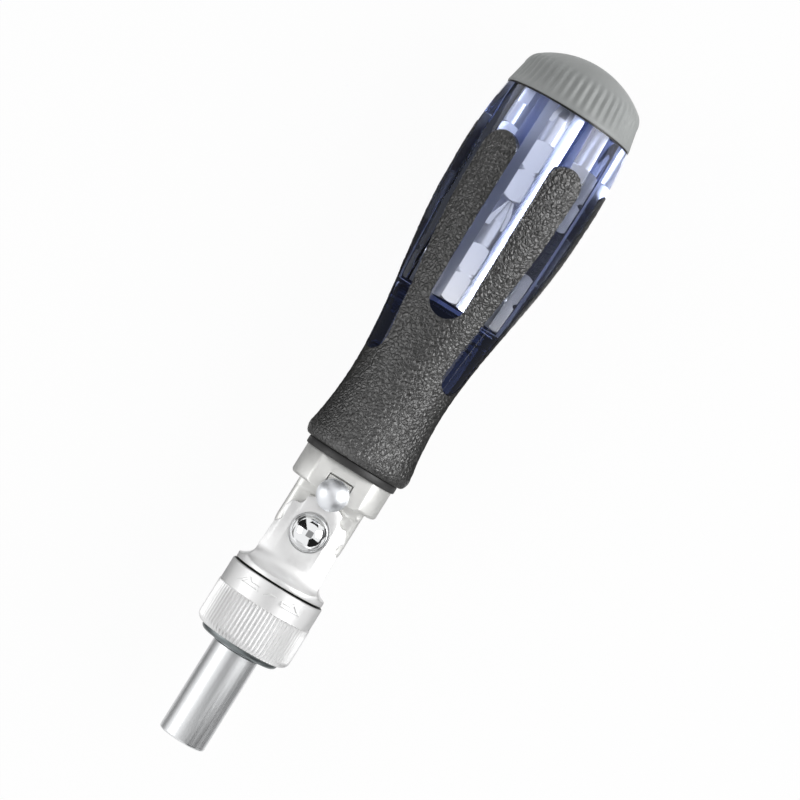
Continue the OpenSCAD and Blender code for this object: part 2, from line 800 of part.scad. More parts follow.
// Lock button: a domed head over the window on a short stem
module lock_button() {
    edge_h = 0.35;
    z_head = ferrule_t / 2 + clear_gap;
    color("silver") lay() translate([0, 0, z_button]) rotate([-90, 0, 0]) {
        translate([0, 0, stem_back]) cylinder(d = stem_d, h = z_head - stem_back + eps);
        translate([0, 0, z_head]) cylinder(d = button_d, h = edge_h);
        translate([0, 0, z_head + edge_h - eps])
            dome(button_d / 2 - eps, button_h - edge_h + eps);
    }
}

module lock_spring() {
    color("silver") lay() translate([0, lock_spring_y, z_lock_end])
        coil(lock_spring_r, lock_wire_r, z_lock_pocket + lock_spring_len - z_lock_end, 7);
}

module grip_collar() {
    edge = 0.3;
    color([0.1, 0.1, 0.1]) lay() translate([0, 0, z_collar]) rotate_extrude() polygon([
        [collar_in_r + press_gap, 0], [collar_r - edge, 0], [collar_r, edge],
        [collar_r, collar_len], [collar_in_r + press_gap, collar_len]
    ]);
}

// Solid inside the handle's outer surface, from the grip's foot to the cap's seat
module body_of_turn(inset) {
    steps = 16;
    rotate_extrude() polygon(concat(
        [[0, z_grip]],
        [for (a = [0:30:90]) [
            lip_r - inset - lip_round * (1 - sin(a)),
            z_grip + lip_len * (1 - cos(a))
        ]],
        [for (i = [1:steps]) let (z = z_lip + i * (z_seat - z_lip) / steps) [body_r(z) - inset, z]],
        [[0, z_seat]]
    ));
}

// The clear ribs: straight-sided slots with round feet, short and long by turns
module rib_slots(w) {
    for (k = [0:channel_count - 1]) at_channel(k) {
        foot = z_waist + (k % 2 == 0 ? short_rib_foot : long_rib_foot) + rib_w / 2;
        translate([0, rib_w, foot]) rotate([-90, 0, 0]) cylinder(d = w, h = far);
        translate([-w / 2, rib_w, foot]) cube([w, far, z_seat - foot]);
    }
}

// Round ends of the rubber fingers
module finger_ends(r) {
    for (k = [0:channel_count - 1]) at_channel(k + 0.5)
        translate([0, 2 * finger_r, z_finger]) rotate([-90, 0, 0]) cylinder(r = r, h = far);
}

// Clear handle body: core, ribs, bit channels, tang socket and cap spigot
module handle_core() {
    color([0.45, 0.52, 0.85, 0.5]) lay() difference() {
        union() {
            translate([0, 0, z_collar]) cylinder(r = collar_in_r, h = collar_len + lip_round);
            body_of_turn(rubber_t + press_gap);
            intersection() {
                body_of_turn(rib_drop);
                union() {
                    rib_slots(rib_w - 2 * turn_gap);
                    difference() {
                        translate([0, 0, z_finger]) cylinder(r = far, h = z_seat - z_finger);
                        finger_ends(finger_r + turn_gap);
                    }
                }
            }
            translate([0, 0, z_seat - eps]) cylinder(r = cap_spigot_r, h = cap_spigot_len + eps);
        }
        translate([0, 0, z_collar - eps]) rotate(30)
            hex_prism(tang_af + 2 * press_gap, tang_len + press_gap + eps);
        for (k = [0:channel_count - 1]) at_channel(k)
            translate([0, channel_r, z_channel]) hex_prism(channel_af, far);
    }
}

// Rubber grip: a moulded sleeve with six fingers between the clear ribs
module rubber_grip() {
    color([0.16, 0.16, 0.16]) lay() difference() {
        intersection() {
            body_of_turn(0);
            union() {
                cylinder(r = far, h = z_finger);
                finger_ends(finger_r);
            }
        }
        body_of_turn(rubber_t);
        rib_slots(rib_w);
    }
}

// Hex shank with bevelled ends and a ring of retaining notches
module bit_shank() {
    bevel = 0.5;
    corner_r = bit_af / 2 / cos(30);
    notch_r = 0.7;
    notch_out = 0.3;
    difference() {
        intersection() {
            hex_prism(bit_af, shank_len);
            rotate_extrude() polygon([
                [0, 0], [corner_r - bevel, 0], [corner_r + eps, bevel],
                [corner_r + eps, shank_len - bevel], [corner_r - bevel, shank_len], [0, shank_len]
            ]);
        }
        translate([0, 0, shank_len / 2]) rotate_extrude()
            translate([corner_r + notch_out, 0]) circle(r = notch_r, $fn = 24);
    }
}

// Cross tip: a round neck, a cone and four flutes that leave a thin cross at the point
module phillips_bit() {
    neck_len = tip_len * 0.55;
    flute_z = tip_len * 0.4;
    point_r = tip_r * 0.28;
    root_foot = tip_r * 0.7;
    root_tip = tip_r * 0.16;
    lean = atan2(root_foot - root_tip, tip_len - flute_z);
    bit_shank();
    translate([0, 0, shank_len - eps]) difference() {
        union() {
            cylinder(r = tip_r, h = neck_len);
            translate([0, 0, neck_len - eps])
                cylinder(r1 = tip_r, r2 = point_r, h = tip_len - neck_len);
        }
        for (a = [45:90:315]) rotate(a) translate([root_foot, 0, flute_z])
            rotate([0, -lean, 0]) rotate(-45) cube([tip_d, tip_d, tip_len]);
    }
}

// Flat blade
module slotted_bit() {
    taper_z = tip_len * 0.4;
    bit_shank();
    translate([0, 0, shank_len - eps]) intersection() {
        cylinder(r = tip_r, h = tip_len);
        rotate([90, 0, 0]) linear_extrude(2 * tip_d, center = true) polygon([
            [-tip_d, 0], [tip_d, 0], [tip_d, taper_z], [blade_t / 2, tip_len],
            [-blade_t / 2, tip_len], [-tip_d, taper_z]
        ]);
    }
}

// Six-lobed tip
module star_bit() {
    lobe_r = tip_r * 0.3;
    bit_shank();
    translate([0, 0, shank_len - eps]) difference() {
        cylinder(r = tip_r, h = tip_len);
        for (a = [0:60:300]) rotate(a) translate([tip_r + lobe_r / 3, 0, tip_len / 2])
            cylinder(r = lobe_r, h = tip_len, $fn = 24);
    }
}

// Hexagon tip
module hex_bit() {
    bit_shank();
    translate([0, 0, shank_len - eps]) {
        cylinder(r = tip_r, h = tip_len * 0.45);
        hex_prism(hex_tip_af, tip_len);
    }
}

// Two bits end to end in each of the given channels
module stored_bits(channels) {
    color("silver") lay() for (k = channels, level = [0, 1]) at_channel(k)
        translate([0, channel_r, z_channel + bit_end_gap + level * (bit_len + bit_end_gap)])
            children();
}

module phillips_bits() {
    stored_bits([0, 3]) phillips_bit();
}

module slotted_bits() {
    stored_bits([1, 4]) slotted_bit();
}

module star_bits() {
    stored_bits([2]) star_bit();
}

module hex_bits() {
    stored_bits([5]) hex_bit();
}

module cap_gasket() {
    color([0.2, 0.2, 0.22]) lay() translate([0, 0, z_seat]) difference() {
        cylinder(r = rim_r - rib_drop, h = gasket_t);
        translate([0, 0, -eps]) cylinder(r = cap_spigot_r + press_gap, h = gasket_t + 2 * eps);
    }
}

// Solid under the cap's outer surface, drawn in by a wall thickness
module cap_of_turn(inset) {
    rotate_extrude() polygon(concat(
        [[0, z_cap], [rim_r - inset, z_cap]],
        [for (a = [0:15:round_end_a]) [
            round_r + (cap_round - inset) * cos(a),
            z_skirt_end + (cap_round - inset) * sin(a)
        ]],
        [for (a = [round_end_a:5:90]) [
            (dome_r - inset) * cos(a),
            z_dome + (dome_r - inset) * sin(a)
        ]],
        [[0, z_apex - inset]]
    ));
}

// Domed cap with a ribbed skirt, hollow, pushed on the spigot
module end_cap() {
    groove_r = 0.55;
    lean = atan2(skirt_draw, skirt_len);
    groove_foot = 0.9;
    groove_x = rim_r - cap_rib_depth + groove_r - skirt_draw * groove_foot / skirt_len;
    color([0.6, 0.6, 0.58]) lay() difference() {
        cap_of_turn(0);
        translate([0, 0, z_cap - eps]) cylinder(r = cap_in_r, h = z_skirt_end - z_cap + eps);
        intersection() {
            cap_of_turn(cap_wall);
            translate([0, 0, z_skirt_end - cap_wall]) cylinder(r = cap_in_r, h = far);
        }
        for (i = [0:cap_ribs - 1]) rotate(i * 360 / cap_ribs)
            translate([groove_x, 0, z_cap + groove_foot]) rotate([0, -lean, 0])
                cylinder(r = groove_r, h = far / 2, $fn = 24);
    }
}

bit_holder();
bit_magnet();
spindle_shaft();
ratchet_gear();
nose_plate();
selector_ring();
pawl_left();
pawl_right();
pawl_pins();
pawl_springs();
detent_ball();
detent_spring();
head_yoke();
pivot_pin();
pivot_end_cap();
pivot_washers();
ferrule();
lock_slider();
lock_button();
lock_spring();
grip_collar();
handle_core();
rubber_grip();
phillips_bits();
slotted_bits();
star_bits();
hex_bits();
cap_gasket();
end_cap();
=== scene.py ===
# %% [markdown]
# A ratcheting screwdriver, dressed over its frame. The frame holds every solid at its real size. Here the
# pieces that show get their soft edges, knurls, grain and finishes. The tool lies on its back: +X points to
# the tip, +Z to the front, +Y to the right of the picture.

# %% Load the frame
import math

import bpy
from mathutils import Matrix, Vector


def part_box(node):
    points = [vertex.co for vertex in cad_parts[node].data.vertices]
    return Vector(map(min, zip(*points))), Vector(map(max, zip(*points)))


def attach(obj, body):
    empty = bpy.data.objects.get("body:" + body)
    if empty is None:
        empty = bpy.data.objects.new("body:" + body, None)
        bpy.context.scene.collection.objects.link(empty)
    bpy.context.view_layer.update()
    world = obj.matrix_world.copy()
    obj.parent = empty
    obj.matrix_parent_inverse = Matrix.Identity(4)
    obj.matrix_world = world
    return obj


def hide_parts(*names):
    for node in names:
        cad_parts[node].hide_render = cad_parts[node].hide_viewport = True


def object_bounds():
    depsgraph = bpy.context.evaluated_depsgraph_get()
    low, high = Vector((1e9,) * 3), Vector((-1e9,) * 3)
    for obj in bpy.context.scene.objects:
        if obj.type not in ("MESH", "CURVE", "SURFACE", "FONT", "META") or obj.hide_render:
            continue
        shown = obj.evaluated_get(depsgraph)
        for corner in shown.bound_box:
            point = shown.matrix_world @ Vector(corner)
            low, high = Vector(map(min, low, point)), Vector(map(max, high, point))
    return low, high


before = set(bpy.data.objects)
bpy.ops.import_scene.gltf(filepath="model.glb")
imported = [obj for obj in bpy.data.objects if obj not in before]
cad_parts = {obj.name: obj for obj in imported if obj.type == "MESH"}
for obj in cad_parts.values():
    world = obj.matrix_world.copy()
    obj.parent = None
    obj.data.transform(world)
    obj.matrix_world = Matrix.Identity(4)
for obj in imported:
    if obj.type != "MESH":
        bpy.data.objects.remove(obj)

cad_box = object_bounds()
MM = 0.001
print("CAD box", cad_box)

# %% [markdown]
# Most of the tool is turned: the holder, the ring, the grip and the cap are all round. A lathe is the
# natural tool. A screw modifier could turn an outline too, but spin does it in edit mode in one go, and it
# also copies a single ridge round the axis, so one helper serves both. An outline is a list of (distance
# from the tip, radius) in mm.

# %% Helpers that turn and shape a mesh
def choose(piece):
    bpy.ops.object.select_all(action="DESELECT")
    piece.select_set(True)
    bpy.context.view_layer.objects.active = piece


def close_up(piece):
    """Merge doubled points and turn all faces outwards."""
    choose(piece)
    bpy.ops.object.mode_set(mode="EDIT")
    bpy.ops.mesh.select_all(action="SELECT")
    bpy.ops.mesh.remove_doubles(threshold=0.0005 * MM)
    bpy.ops.mesh.normals_make_consistent(inside=False)
    bpy.ops.object.mode_set(mode="OBJECT")


def chain(name, places):
    """A row of points joined by edges, drawn by extruding one point."""
    bpy.ops.mesh.primitive_plane_add(size=MM)
    piece = bpy.context.object
    piece.name = name
    bpy.ops.object.mode_set(mode="EDIT")
    bpy.ops.mesh.select_mode(type="VERT")
    bpy.ops.mesh.select_all(action="SELECT")
    bpy.ops.mesh.merge(type="CENTER")
    bpy.ops.transform.translate(value=places[0])
    for here, there in zip(places, places[1:]):
        bpy.ops.mesh.extrude_vertices_move(TRANSFORM_OT_translate={"value": there - here})
    bpy.ops.mesh.select_all(action="SELECT")
    return piece


def lathe(name, outline, steps=160, turn=math.tau):
    """Turn an outline of (distance from the tip, radius) round the tool's axis."""
    piece = chain(name, [Vector((-s, 0, r)) * MM for s, r in outline])
    bpy.ops.mesh.spin(steps=steps, angle=turn, center=(0, 0, 0), axis=(1, 0, 0))
    bpy.ops.object.mode_set(mode="OBJECT")
    close_up(piece)
    return piece


def arc(s, r, radius, start, end, steps):
    """Points of an arc about (s, r); 0 degrees points outwards and 90 degrees away from the tip."""
    angles = [math.radians(start + (end - start) * i / steps) for i in range(steps + 1)]
    return [(s + radius * math.sin(a), r + radius * math.cos(a)) for a in angles]


# %% [markdown]
# The head and the ferrule are castings with flats, slots and a window. Subdivision modelling would round
# all of it; cutting plain blocks and rods from each other keeps the flats true, and a narrow bevel then
# gives the cast edge.

# %% Helpers that cut and soften
def settle(piece):
    """Put an object's place and size into its mesh."""
    choose(piece)
    bpy.ops.object.transform_apply(location=True, rotation=True, scale=True)
    return piece


def block(s, right, front):
    """A cutting block from its ranges along the tool, to the right and to the front."""
    ranges = [(-s[1], -s[0]), right, front]
    middle = Vector([(low + high) / 2 for low, high in ranges]) * MM
    size = Vector([high - low for low, high in ranges]) * MM
    bpy.ops.mesh.primitive_cube_add(size=1, location=middle, scale=size)
    return settle(bpy.context.object)


def rod(start, end, radius, sides=96):
    """A rod between two places given as (distance from the tip, right, front)."""
    first, last = (Vector((-s, right, front)) * MM for s, right, front in (start, end))
    way = last - first
    bpy.ops.mesh.primitive_cylinder_add(
        vertices=sides, radius=radius * MM, depth=way.length, location=(first + last) / 2,
        rotation=way.to_track_quat("Z", "Y").to_euler())
    return settle(bpy.context.object)


def plate(name, outline, low, high, side="front"):
    """Thicken an outline of (distance, right) to the front, or one of (distance, front) to the right."""
    if side == "front":
        places = [Vector((-s, r, low)) * MM for s, r in outline]
        rise = Vector((0, 0, high - low)) * MM
    else:
        places = [Vector((-s, low, f)) * MM for s, f in outline]
        rise = Vector((0, high - low, 0)) * MM
    piece = chain(name, places)
    bpy.ops.mesh.edge_face_add()
    bpy.ops.mesh.extrude_region_move(TRANSFORM_OT_translate={"value": rise})
    bpy.ops.object.mode_set(mode="OBJECT")
    close_up(piece)
    return piece


def apply_last(piece):
    choose(piece)
    bpy.ops.object.modifier_apply(modifier=piece.modifiers[-1].name)


def carve(piece, tool, way="DIFFERENCE"):
    """Cut a tool from a piece, or join it, or keep what they share; the tool is used up."""
    cut = piece.modifiers.new("carve", "BOOLEAN")
    cut.operation = way
    cut.solver = "EXACT"
    cut.object = tool
    apply_last(piece)
    bpy.data.objects.remove(tool)
    close_up(piece)
    return piece


def soften(piece, width, segments=2, angle=40):
    """A narrow round along every edge sharper than an angle."""
    edge = piece.modifiers.new("soften", "BEVEL")
    edge.width = width * MM
    edge.segments = segments
    edge.limit_method = "ANGLE"
    edge.angle_limit = math.radians(angle)
    apply_last(piece)
    return piece


def pick(piece, test):
    """Select the points that pass a test and stay in edit mode."""
    choose(piece)
    bpy.ops.object.mode_set(mode="EDIT")
    bpy.ops.mesh.select_mode(type="VERT")
    bpy.ops.mesh.select_all(action="DESELECT")
    bpy.ops.object.mode_set(mode="OBJECT")
    for point in piece.data.vertices:
        point.select = test(point.co)
    bpy.ops.object.mode_set(mode="EDIT")


def hand_in(piece, body, node, finish, angle=32):
    """Shade a piece, give it its finish and its body, and let it stand for its CAD node."""
    choose(piece)
    bpy.ops.object.shade_smooth_by_angle(angle=math.radians(angle))
    piece.data.materials.clear()
    piece.data.materials.append(finish)
    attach(piece, body)
    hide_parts(node)
    print(piece.name, len(piece.data.polygons), "faces, rides on", body)


# %% [markdown]
# The camera looks straight down on the tool. Its height and lens come from how the round edges bow in the
# picture: about 0.59 m away. It is turned about its own line of sight so that the tool runs from bottom
# left to top right.

# %% Camera
camera_height = 0.587
camera_lens = 122.8
view_middle = Vector((-0.0867, 0.00149, 0))
view_turn = 121.9
camera_data = bpy.data.cameras.new("camera")
camera_data.lens = camera_lens
camera_data.sensor_width = 36
camera = bpy.data.objects.new("camera", camera_data)
camera.location = view_middle + Vector((0, 0, camera_height))
camera.rotation_euler = (0, 0, math.radians(view_turn))
bpy.context.scene.collection.objects.link(camera)
bpy.context.scene.camera = camera
bpy.context.scene.view_settings.view_transform = "Standard"
print("camera at", tuple(camera.location))

# %% [markdown]
# The picture has a white ground. More light would burn out the tool, so the ground is white by itself: rays
# from the camera, from gloss and from glass see white, while all other rays meet a calm sky that lights at
# a plain level.

# %% Sky
sky_light = 0.47
world = bpy.data.worlds.new("sky")
bpy.context.scene.world = world
world.use_nodes = True
sky = world.node_tree
sky.nodes.clear()
sky_out = sky.nodes.new("ShaderNodeOutputWorld")
sky_mix = sky.nodes.new("ShaderNodeMixShader")
calm = sky.nodes.new("ShaderNodeBackground")
calm.inputs["Strength"].default_value = sky_light
white = sky.nodes.new("ShaderNodeBackground")
for ground in (calm, white):
    ground.inputs["Color"].default_value = (1, 1, 1, 1)


def seen_directly(tree):
    """1 for rays from the camera, from gloss and from glass, and 0 for all other rays."""
    path = tree.nodes.new("ShaderNodeLightPath")
    total = path.outputs["Is Camera Ray"]
    for kind in ("Is Glossy Ray", "Is Transmission Ray"):
        larger = tree.nodes.new("ShaderNodeMath")
        larger.operation = "MAXIMUM"
        tree.links.new(total, larger.inputs[0])
        tree.links.new(path.outputs[kind], larger.inputs[1])
        total = larger.outputs[0]
    return total


sky.links.new(seen_directly(sky), sky_mix.inputs[0])
sky.links.new(calm.outputs[0], sky_mix.inputs[1])
sky.links.new(white.outputs[0], sky_mix.inputs[2])
sky.links.new(sky_mix.outputs[0], sky_out.inputs["Surface"])
print("sky lights at", sky_light)

# %% [markdown]
# The floor carries the tool. It glows a little towards the camera so that it stays white, and keeps a faint
# shadow.

# %% Floor
floor_glow = 0.95
floor_half = 3.0
paper_white = (0.9, 0.9, 0.9, 1)
bpy.ops.mesh.primitive_plane_add(size=2 * floor_half, location=(0, 0, cad_box[0][2]))
floor = bpy.context.object
floor.name = "floor"
floor_finish = bpy.data.materials.new("floor_white")
floor_finish.use_nodes = True
tree = floor_finish.node_tree
tree.nodes.clear()
floor_out = tree.nodes.new("ShaderNodeOutputMaterial")
paper = tree.nodes.new("ShaderNodeBsdfDiffuse")
paper.inputs["Color"].default_value = paper_white
glow = tree.nodes.new("ShaderNodeEmission")
share = tree.nodes.new("ShaderNodeMath")
share.operation = "MULTIPLY"
share.inputs[1].default_value = floor_glow
floor_mix = tree.nodes.new("ShaderNodeMixShader")
tree.links.new(seen_directly(tree), share.inputs[0])
tree.links.new(share.outputs[0], floor_mix.inputs[0])
tree.links.new(paper.outputs[0], floor_mix.inputs[1])
tree.links.new(glow.outputs[0], floor_mix.inputs[2])
tree.links.new(floor_mix.outputs[0], floor_out.inputs["Surface"])
floor.data.materials.append(floor_finish)
print("floor at", floor.location.z)

# %% [markdown]
# Three soft boxes light the tool. The strong one on the right gives matte light only, because its mirror
# image would burn out the bright metals. A smaller one near the cap gives only the highlights on the rubber
# and the cap, and a weak one fills in from the left. One lamp for both jobs would be simpler, but matte
# light and highlights couldn't then be set apart.

# %% Soft boxes
def soft_box(name, place, size, power, matte=True, gloss=True):
    """A soft box aimed at the tool, which can leave out either the matte light or the highlights."""
    lamp = bpy.data.lights.new(name, "AREA")
    lamp.shape = "RECTANGLE"
    lamp.size, lamp.size_y = size
    lamp.energy = power
    box = bpy.data.objects.new(name, lamp)
    box.location = place
    aim = view_middle - box.location
    box.rotation_euler = aim.to_track_quat("-Z", "Y").to_euler()
    box.visible_diffuse = matte
    box.visible_glossy = gloss
    bpy.context.scene.collection.objects.link(box)
    print(name, power, "W")


soft_box("box_right", Vector((-0.2, 0.88, 0.56)), (1.0, 0.7), 8, gloss=False)
soft_box("box_left", Vector((0.12, -0.8, 0.55)), (0.6, 0.5), 1.8)
soft_box("box_handle", Vector((-0.27, 0.5, 0.32)), (0.38, 0.45), 2.4, matte=False)

# %% [markdown]
# Chrome and clear plastic need something dark to mirror, or they look like plain white paint. Black and
# grey cards stand round the tool and lie on the floor for that. The dark cards beside and under the head,
# the waist and the belly are painted shadow: they darken the floor where the tool's own shadow falls. Only
# reflected and refracted rays meet them, so they throw no shade, and the camera looks straight through
# them.

# %% Black and grey cards
def show_tone(card, tone, through_glass=True):
    """Give a card one even tone that only gloss and glass can see."""
    card_finish = bpy.data.materials.new(card.name)
    card_finish.use_nodes = True
    card_tree = card_finish.node_tree
    card_tree.nodes.clear()
    card_out = card_tree.nodes.new("ShaderNodeOutputMaterial")
    even = card_tree.nodes.new("ShaderNodeEmission")
    even.inputs["Color"].default_value = (tone, tone, tone, 1)
    card_tree.links.new(even.outputs[0], card_out.inputs["Surface"])
    card.data.materials.append(card_finish)
    card.visible_camera = False
    card.visible_diffuse = False
    card.visible_shadow = False
    card.visible_transmission = through_glass
    print(card.name, "of tone", tone)


def tone_card(name, place, size, aim, tone, through_glass=True):
    """A rectangular card that faces a place."""
    bpy.ops.mesh.primitive_plane_add(size=1, location=place)
    card = bpy.context.object
    card.name = name
    card.scale = (size[0], size[1], 1)
    card.rotation_euler = (Vector(aim) - Vector(place)).to_track_quat("Z", "Y").to_euler()
    show_tone(card, tone, through_glass)


floor_top = cad_box[0][2] + 0.0005


def floor_card(name, place, size, tone):
    """A card that lies on the floor, face up."""
    tone_card(name, (*place, floor_top), size, (*place, 1), tone)


pivot_place = Vector((-0.0525, 0, 0))
wedge_reach = 0.45


def wedge_card(name, bearing, near, far, tone):
    """A wedge seen from the pivot; near and far are (degrees from straight up, half its width)."""
    corners = [(near[0], -near[1]), (near[0], near[1]), (far[0], far[1]), (far[0], -far[1])]
    places = []
    for lean_degrees, off in corners:
        turn = math.radians(bearing + off)
        lean = math.radians(lean_degrees)
        way = Vector((math.sin(lean) * math.cos(turn), math.sin(lean) * math.sin(turn), math.cos(lean)))
        places.append(pivot_place + wedge_reach * way)
    card = chain(name, places)
    bpy.ops.mesh.edge_face_add()
    bpy.ops.object.mode_set(mode="OBJECT")
    show_tone(card, tone)


wedge_card("card_upper_left", 246, (20, 6), (88, 22), 0.015)
wedge_card("card_lower_right", 48, (36, 18), (88, 27), 0.015)
tone_card("card_overhead", (-0.01, 0.07, 0.47), (0.34, 0.32), (-0.01, 0.07, 0), 0.3,
          through_glass=False)
floor_card("card_floor_left", (-0.12, -0.21), (0.1, 0.376), 0.06)
floor_card("card_floor_right", (-0.12, 0.21), (0.1, 0.376), 0.1)
# Painted shadow: these two cards darken the floor beside and under the head, as gloss and glass see it.
floor_card("painted_shadow_head_left", (-0.046, -0.034), (0.047, 0.04), 0.2)
floor_card("painted_shadow_head_right", (-0.046, 0.034), (0.047, 0.04), 0.2)
floor_card("card_tip_left", (0.004, -0.21), (0.052, 0.376), 0.25)
floor_card("card_tip_right", (0.004, 0.21), (0.052, 0.376), 0.25)
# Painted shadow: these two cards darken the floor under the handle's waist and belly, as gloss and glass
# see it.
floor_card("painted_shadow_waist", (-0.092, 0), (0.04, 0.044), 0.02)
floor_card("painted_shadow_belly", (-0.134, -0.013), (0.044, 0.018), 0.06)
tone_card("card_side_left", (-0.21, -0.42, 0.15), (0.18, 0.34), (-0.21, 0, 0.15), 0.06)
tone_card("card_side_right", (-0.085, 0.42, 0.03), (0.7, 0.1), (-0.085, 0, 0.03), 0.05)
tone_card("card_over_grip", (-0.14, 0.001, 0.035), (0.09, 0.05), (-0.14, 0.001, 0), 0.03,
          through_glass=False)

# %% [markdown]
# Finishes. Each one is a node material on Object coordinates, which are the tool's own metres, so a grain
# of 0.3 mm is written as it is. One helper lets the roughness wander with noise, another the colour, and a
# third turns noise into a fine bump.

# %% Helpers for finishes
def new_finish(name, colour, metal, rough):
    finish = bpy.data.materials.new(name)
    finish.use_nodes = True
    shader = finish.node_tree.nodes["Principled BSDF"]
    shader.inputs["Base Color"].default_value = (*colour, 1)
    shader.inputs["Metallic"].default_value = metal
    shader.inputs["Roughness"].default_value = rough
    return finish


def nodes_of(finish):
    return finish.node_tree.nodes, finish.node_tree.links


def cloud(finish, grain, detail=3.0, stretch=(1, 1, 1)):
    """Noise whose lumps are about grain millimetres wide, drawn out by stretch along X, Y and Z."""
    nodes, links = nodes_of(finish)
    where = nodes.new("ShaderNodeTexCoord")
    fit = nodes.new("ShaderNodeMapping")
    fit.inputs["Scale"].default_value = [1 / (grain * MM * pull) for pull in stretch]
    noise = nodes.new("ShaderNodeTexNoise")
    noise.inputs["Scale"].default_value = 1
    noise.inputs["Detail"].default_value = detail
    links.new(where.outputs["Object"], fit.inputs["Vector"])
    links.new(fit.outputs["Vector"], noise.inputs["Vector"])
    return noise.outputs["Fac"]


noise_low = 0.3
noise_high = 0.7


def vary_roughness(finish, source, low, high):
    """Let the roughness wander between two values with a pattern."""
    nodes, links = nodes_of(finish)
    spread = nodes.new("ShaderNodeMapRange")
    spread.inputs["From Min"].default_value = noise_low
    spread.inputs["From Max"].default_value = noise_high
    spread.inputs["To Min"].default_value = low
    spread.inputs["To Max"].default_value = high
    links.new(source, spread.inputs["Value"])
    links.new(spread.outputs["Result"], nodes["Principled BSDF"].inputs["Roughness"])


def vary_colour(finish, source, dark, light, start=0.35, end=0.65):
    """Let the colour wander between two tones with a pattern."""
    nodes, links = nodes_of(finish)
    ramp = nodes.new("ShaderNodeValToRGB")
    ramp.color_ramp.elements[0].position = start
    ramp.color_ramp.elements[0].color = (*dark, 1)
    ramp.color_ramp.elements[1].position = end
    ramp.color_ramp.elements[1].color = (*light, 1)
    links.new(source, ramp.inputs["Fac"])
    links.new(ramp.outputs["Color"], nodes["Principled BSDF"].inputs["Base Color"])


def raise_bump(finish, source, height):
    """Turn a pattern into a bump of a height in millimetres, on top of any bump before it."""
    nodes, links = nodes_of(finish)
    shader = nodes["Principled BSDF"]
    bump = nodes.new("ShaderNodeBump")
    bump.inputs["Distance"].default_value = height * MM
    bump.inputs["Strength"].default_value = 1
    links.new(source, bump.inputs["Height"])
    if shader.inputs["Normal"].links:
        links.new(shader.inputs["Normal"].links[0].from_socket, bump.inputs["Normal"])
    links.new(bump.outputs["Normal"], shader.inputs["Normal"])


# %% [markdown]
# Metals. The holder is drawn steel with long faint streaks, the castings are plated and pearly with a fine
# orange peel, the pin head is mirror chrome and the button a softer chrome. Roughness carries most of the
# difference. Between the ring and the head runs a narrow gap. A cut that narrow would fill with light, so
# its shade is painted: the metal's colour itself turns dark there, by its distance from the tip.

# %% Metal finishes
satin_steel = new_finish("satin_steel", (0.74, 0.75, 0.76), 1, 0.35)
streaks = cloud(satin_steel, 0.5, detail=4, stretch=(30, 1, 1))
vary_roughness(satin_steel, streaks, 0.3, 0.42)
raise_bump(satin_steel, streaks, 0.0012)

magnet_grey = new_finish("magnet_grey", (0.36, 0.36, 0.37), 1, 0.35)
vary_roughness(magnet_grey, cloud(magnet_grey, 0.4), 0.28, 0.45)

dark_steel = new_finish("dark_steel", (0.2, 0.22, 0.225), 1, 0.38)
vary_roughness(dark_steel, cloud(dark_steel, 0.6), 0.3, 0.45)
vary_colour(dark_steel, cloud(dark_steel, 2.5), (0.17, 0.19, 0.195), (0.23, 0.25, 0.255))


def round_edges(finish, radius):
    """Let the shader round off edges, as plating and tumbling do."""
    nodes = finish.node_tree.nodes
    rounded = nodes.new("ShaderNodeBevel")
    rounded.samples = 4
    rounded.inputs["Radius"].default_value = radius * MM
    finish.node_tree.links.new(rounded.outputs["Normal"], nodes["Principled BSDF"].inputs["Normal"])


ring_silver = new_finish("ring_silver", (0.88, 0.88, 0.87), 0.72, 0.42)
vary_roughness(ring_silver, cloud(ring_silver, 0.5), 0.38, 0.5)
raise_bump(ring_silver, cloud(ring_silver, 0.35), 0.008)


def paint_gap_shade(finish, tone, edge, end, dark=0.02):
    """Paint shade on a grey metal: its colour turns dark between two distances from the tip."""
    nodes, links = nodes_of(finish)
    where = nodes.new("ShaderNodeTexCoord")
    along = nodes.new("ShaderNodeSeparateXYZ")
    fade = nodes.new("ShaderNodeMapRange")
    fade.inputs["From Min"].default_value = -edge * MM
    fade.inputs["From Max"].default_value = -end * MM
    fade.inputs["To Min"].default_value = tone
    fade.inputs["To Max"].default_value = dark
    links.new(where.outputs["Object"], along.inputs["Vector"])
    links.new(along.outputs["X"], fade.inputs["Value"])
    links.new(fade.outputs["Result"], nodes["Principled BSDF"].inputs["Base Color"])


silver_tone = 0.88
ring_gap = (39.4, 39.5)
head_gap = (39.97, 39.9)
# Painted shade: the ring's end face at the gap is coloured dark.
paint_gap_shade(ring_silver, silver_tone, *ring_gap)


def casting(name, colour):
    """A plated casting with tumbled edges and a faint orange peel."""
    finish = new_finish(name, colour, 0.72, 0.45)
    round_edges(finish, 0.35)
    vary_roughness(finish, cloud(finish, 0.8), 0.38, 0.5)
    raise_bump(finish, cloud(finish, 0.5), 0.012)
    return finish


pearl_silver = casting("pearl_silver", (0.88, 0.88, 0.88))
# Painted shade: the head's hub inside the ring, up to the flange's near face, is coloured dark.
paint_gap_shade(pearl_silver, silver_tone, *head_gap)
cast_silver = casting("cast_silver", (0.88, 0.88, 0.86))

spring_steel = new_finish("spring_steel", (0.6, 0.6, 0.6), 1, 0.25)
vary_roughness(spring_steel, cloud(spring_steel, 0.3), 0.2, 0.32)

chrome = new_finish("chrome", (0.85, 0.86, 0.87), 1, 0.03)
vary_roughness(chrome, cloud(chrome, 1.2), 0.06, 0.1)

satin_chrome = new_finish("satin_chrome", (0.85, 0.87, 0.9), 1, 0.36)
vary_roughness(satin_chrome, cloud(satin_chrome, 0.5), 0.4, 0.48)

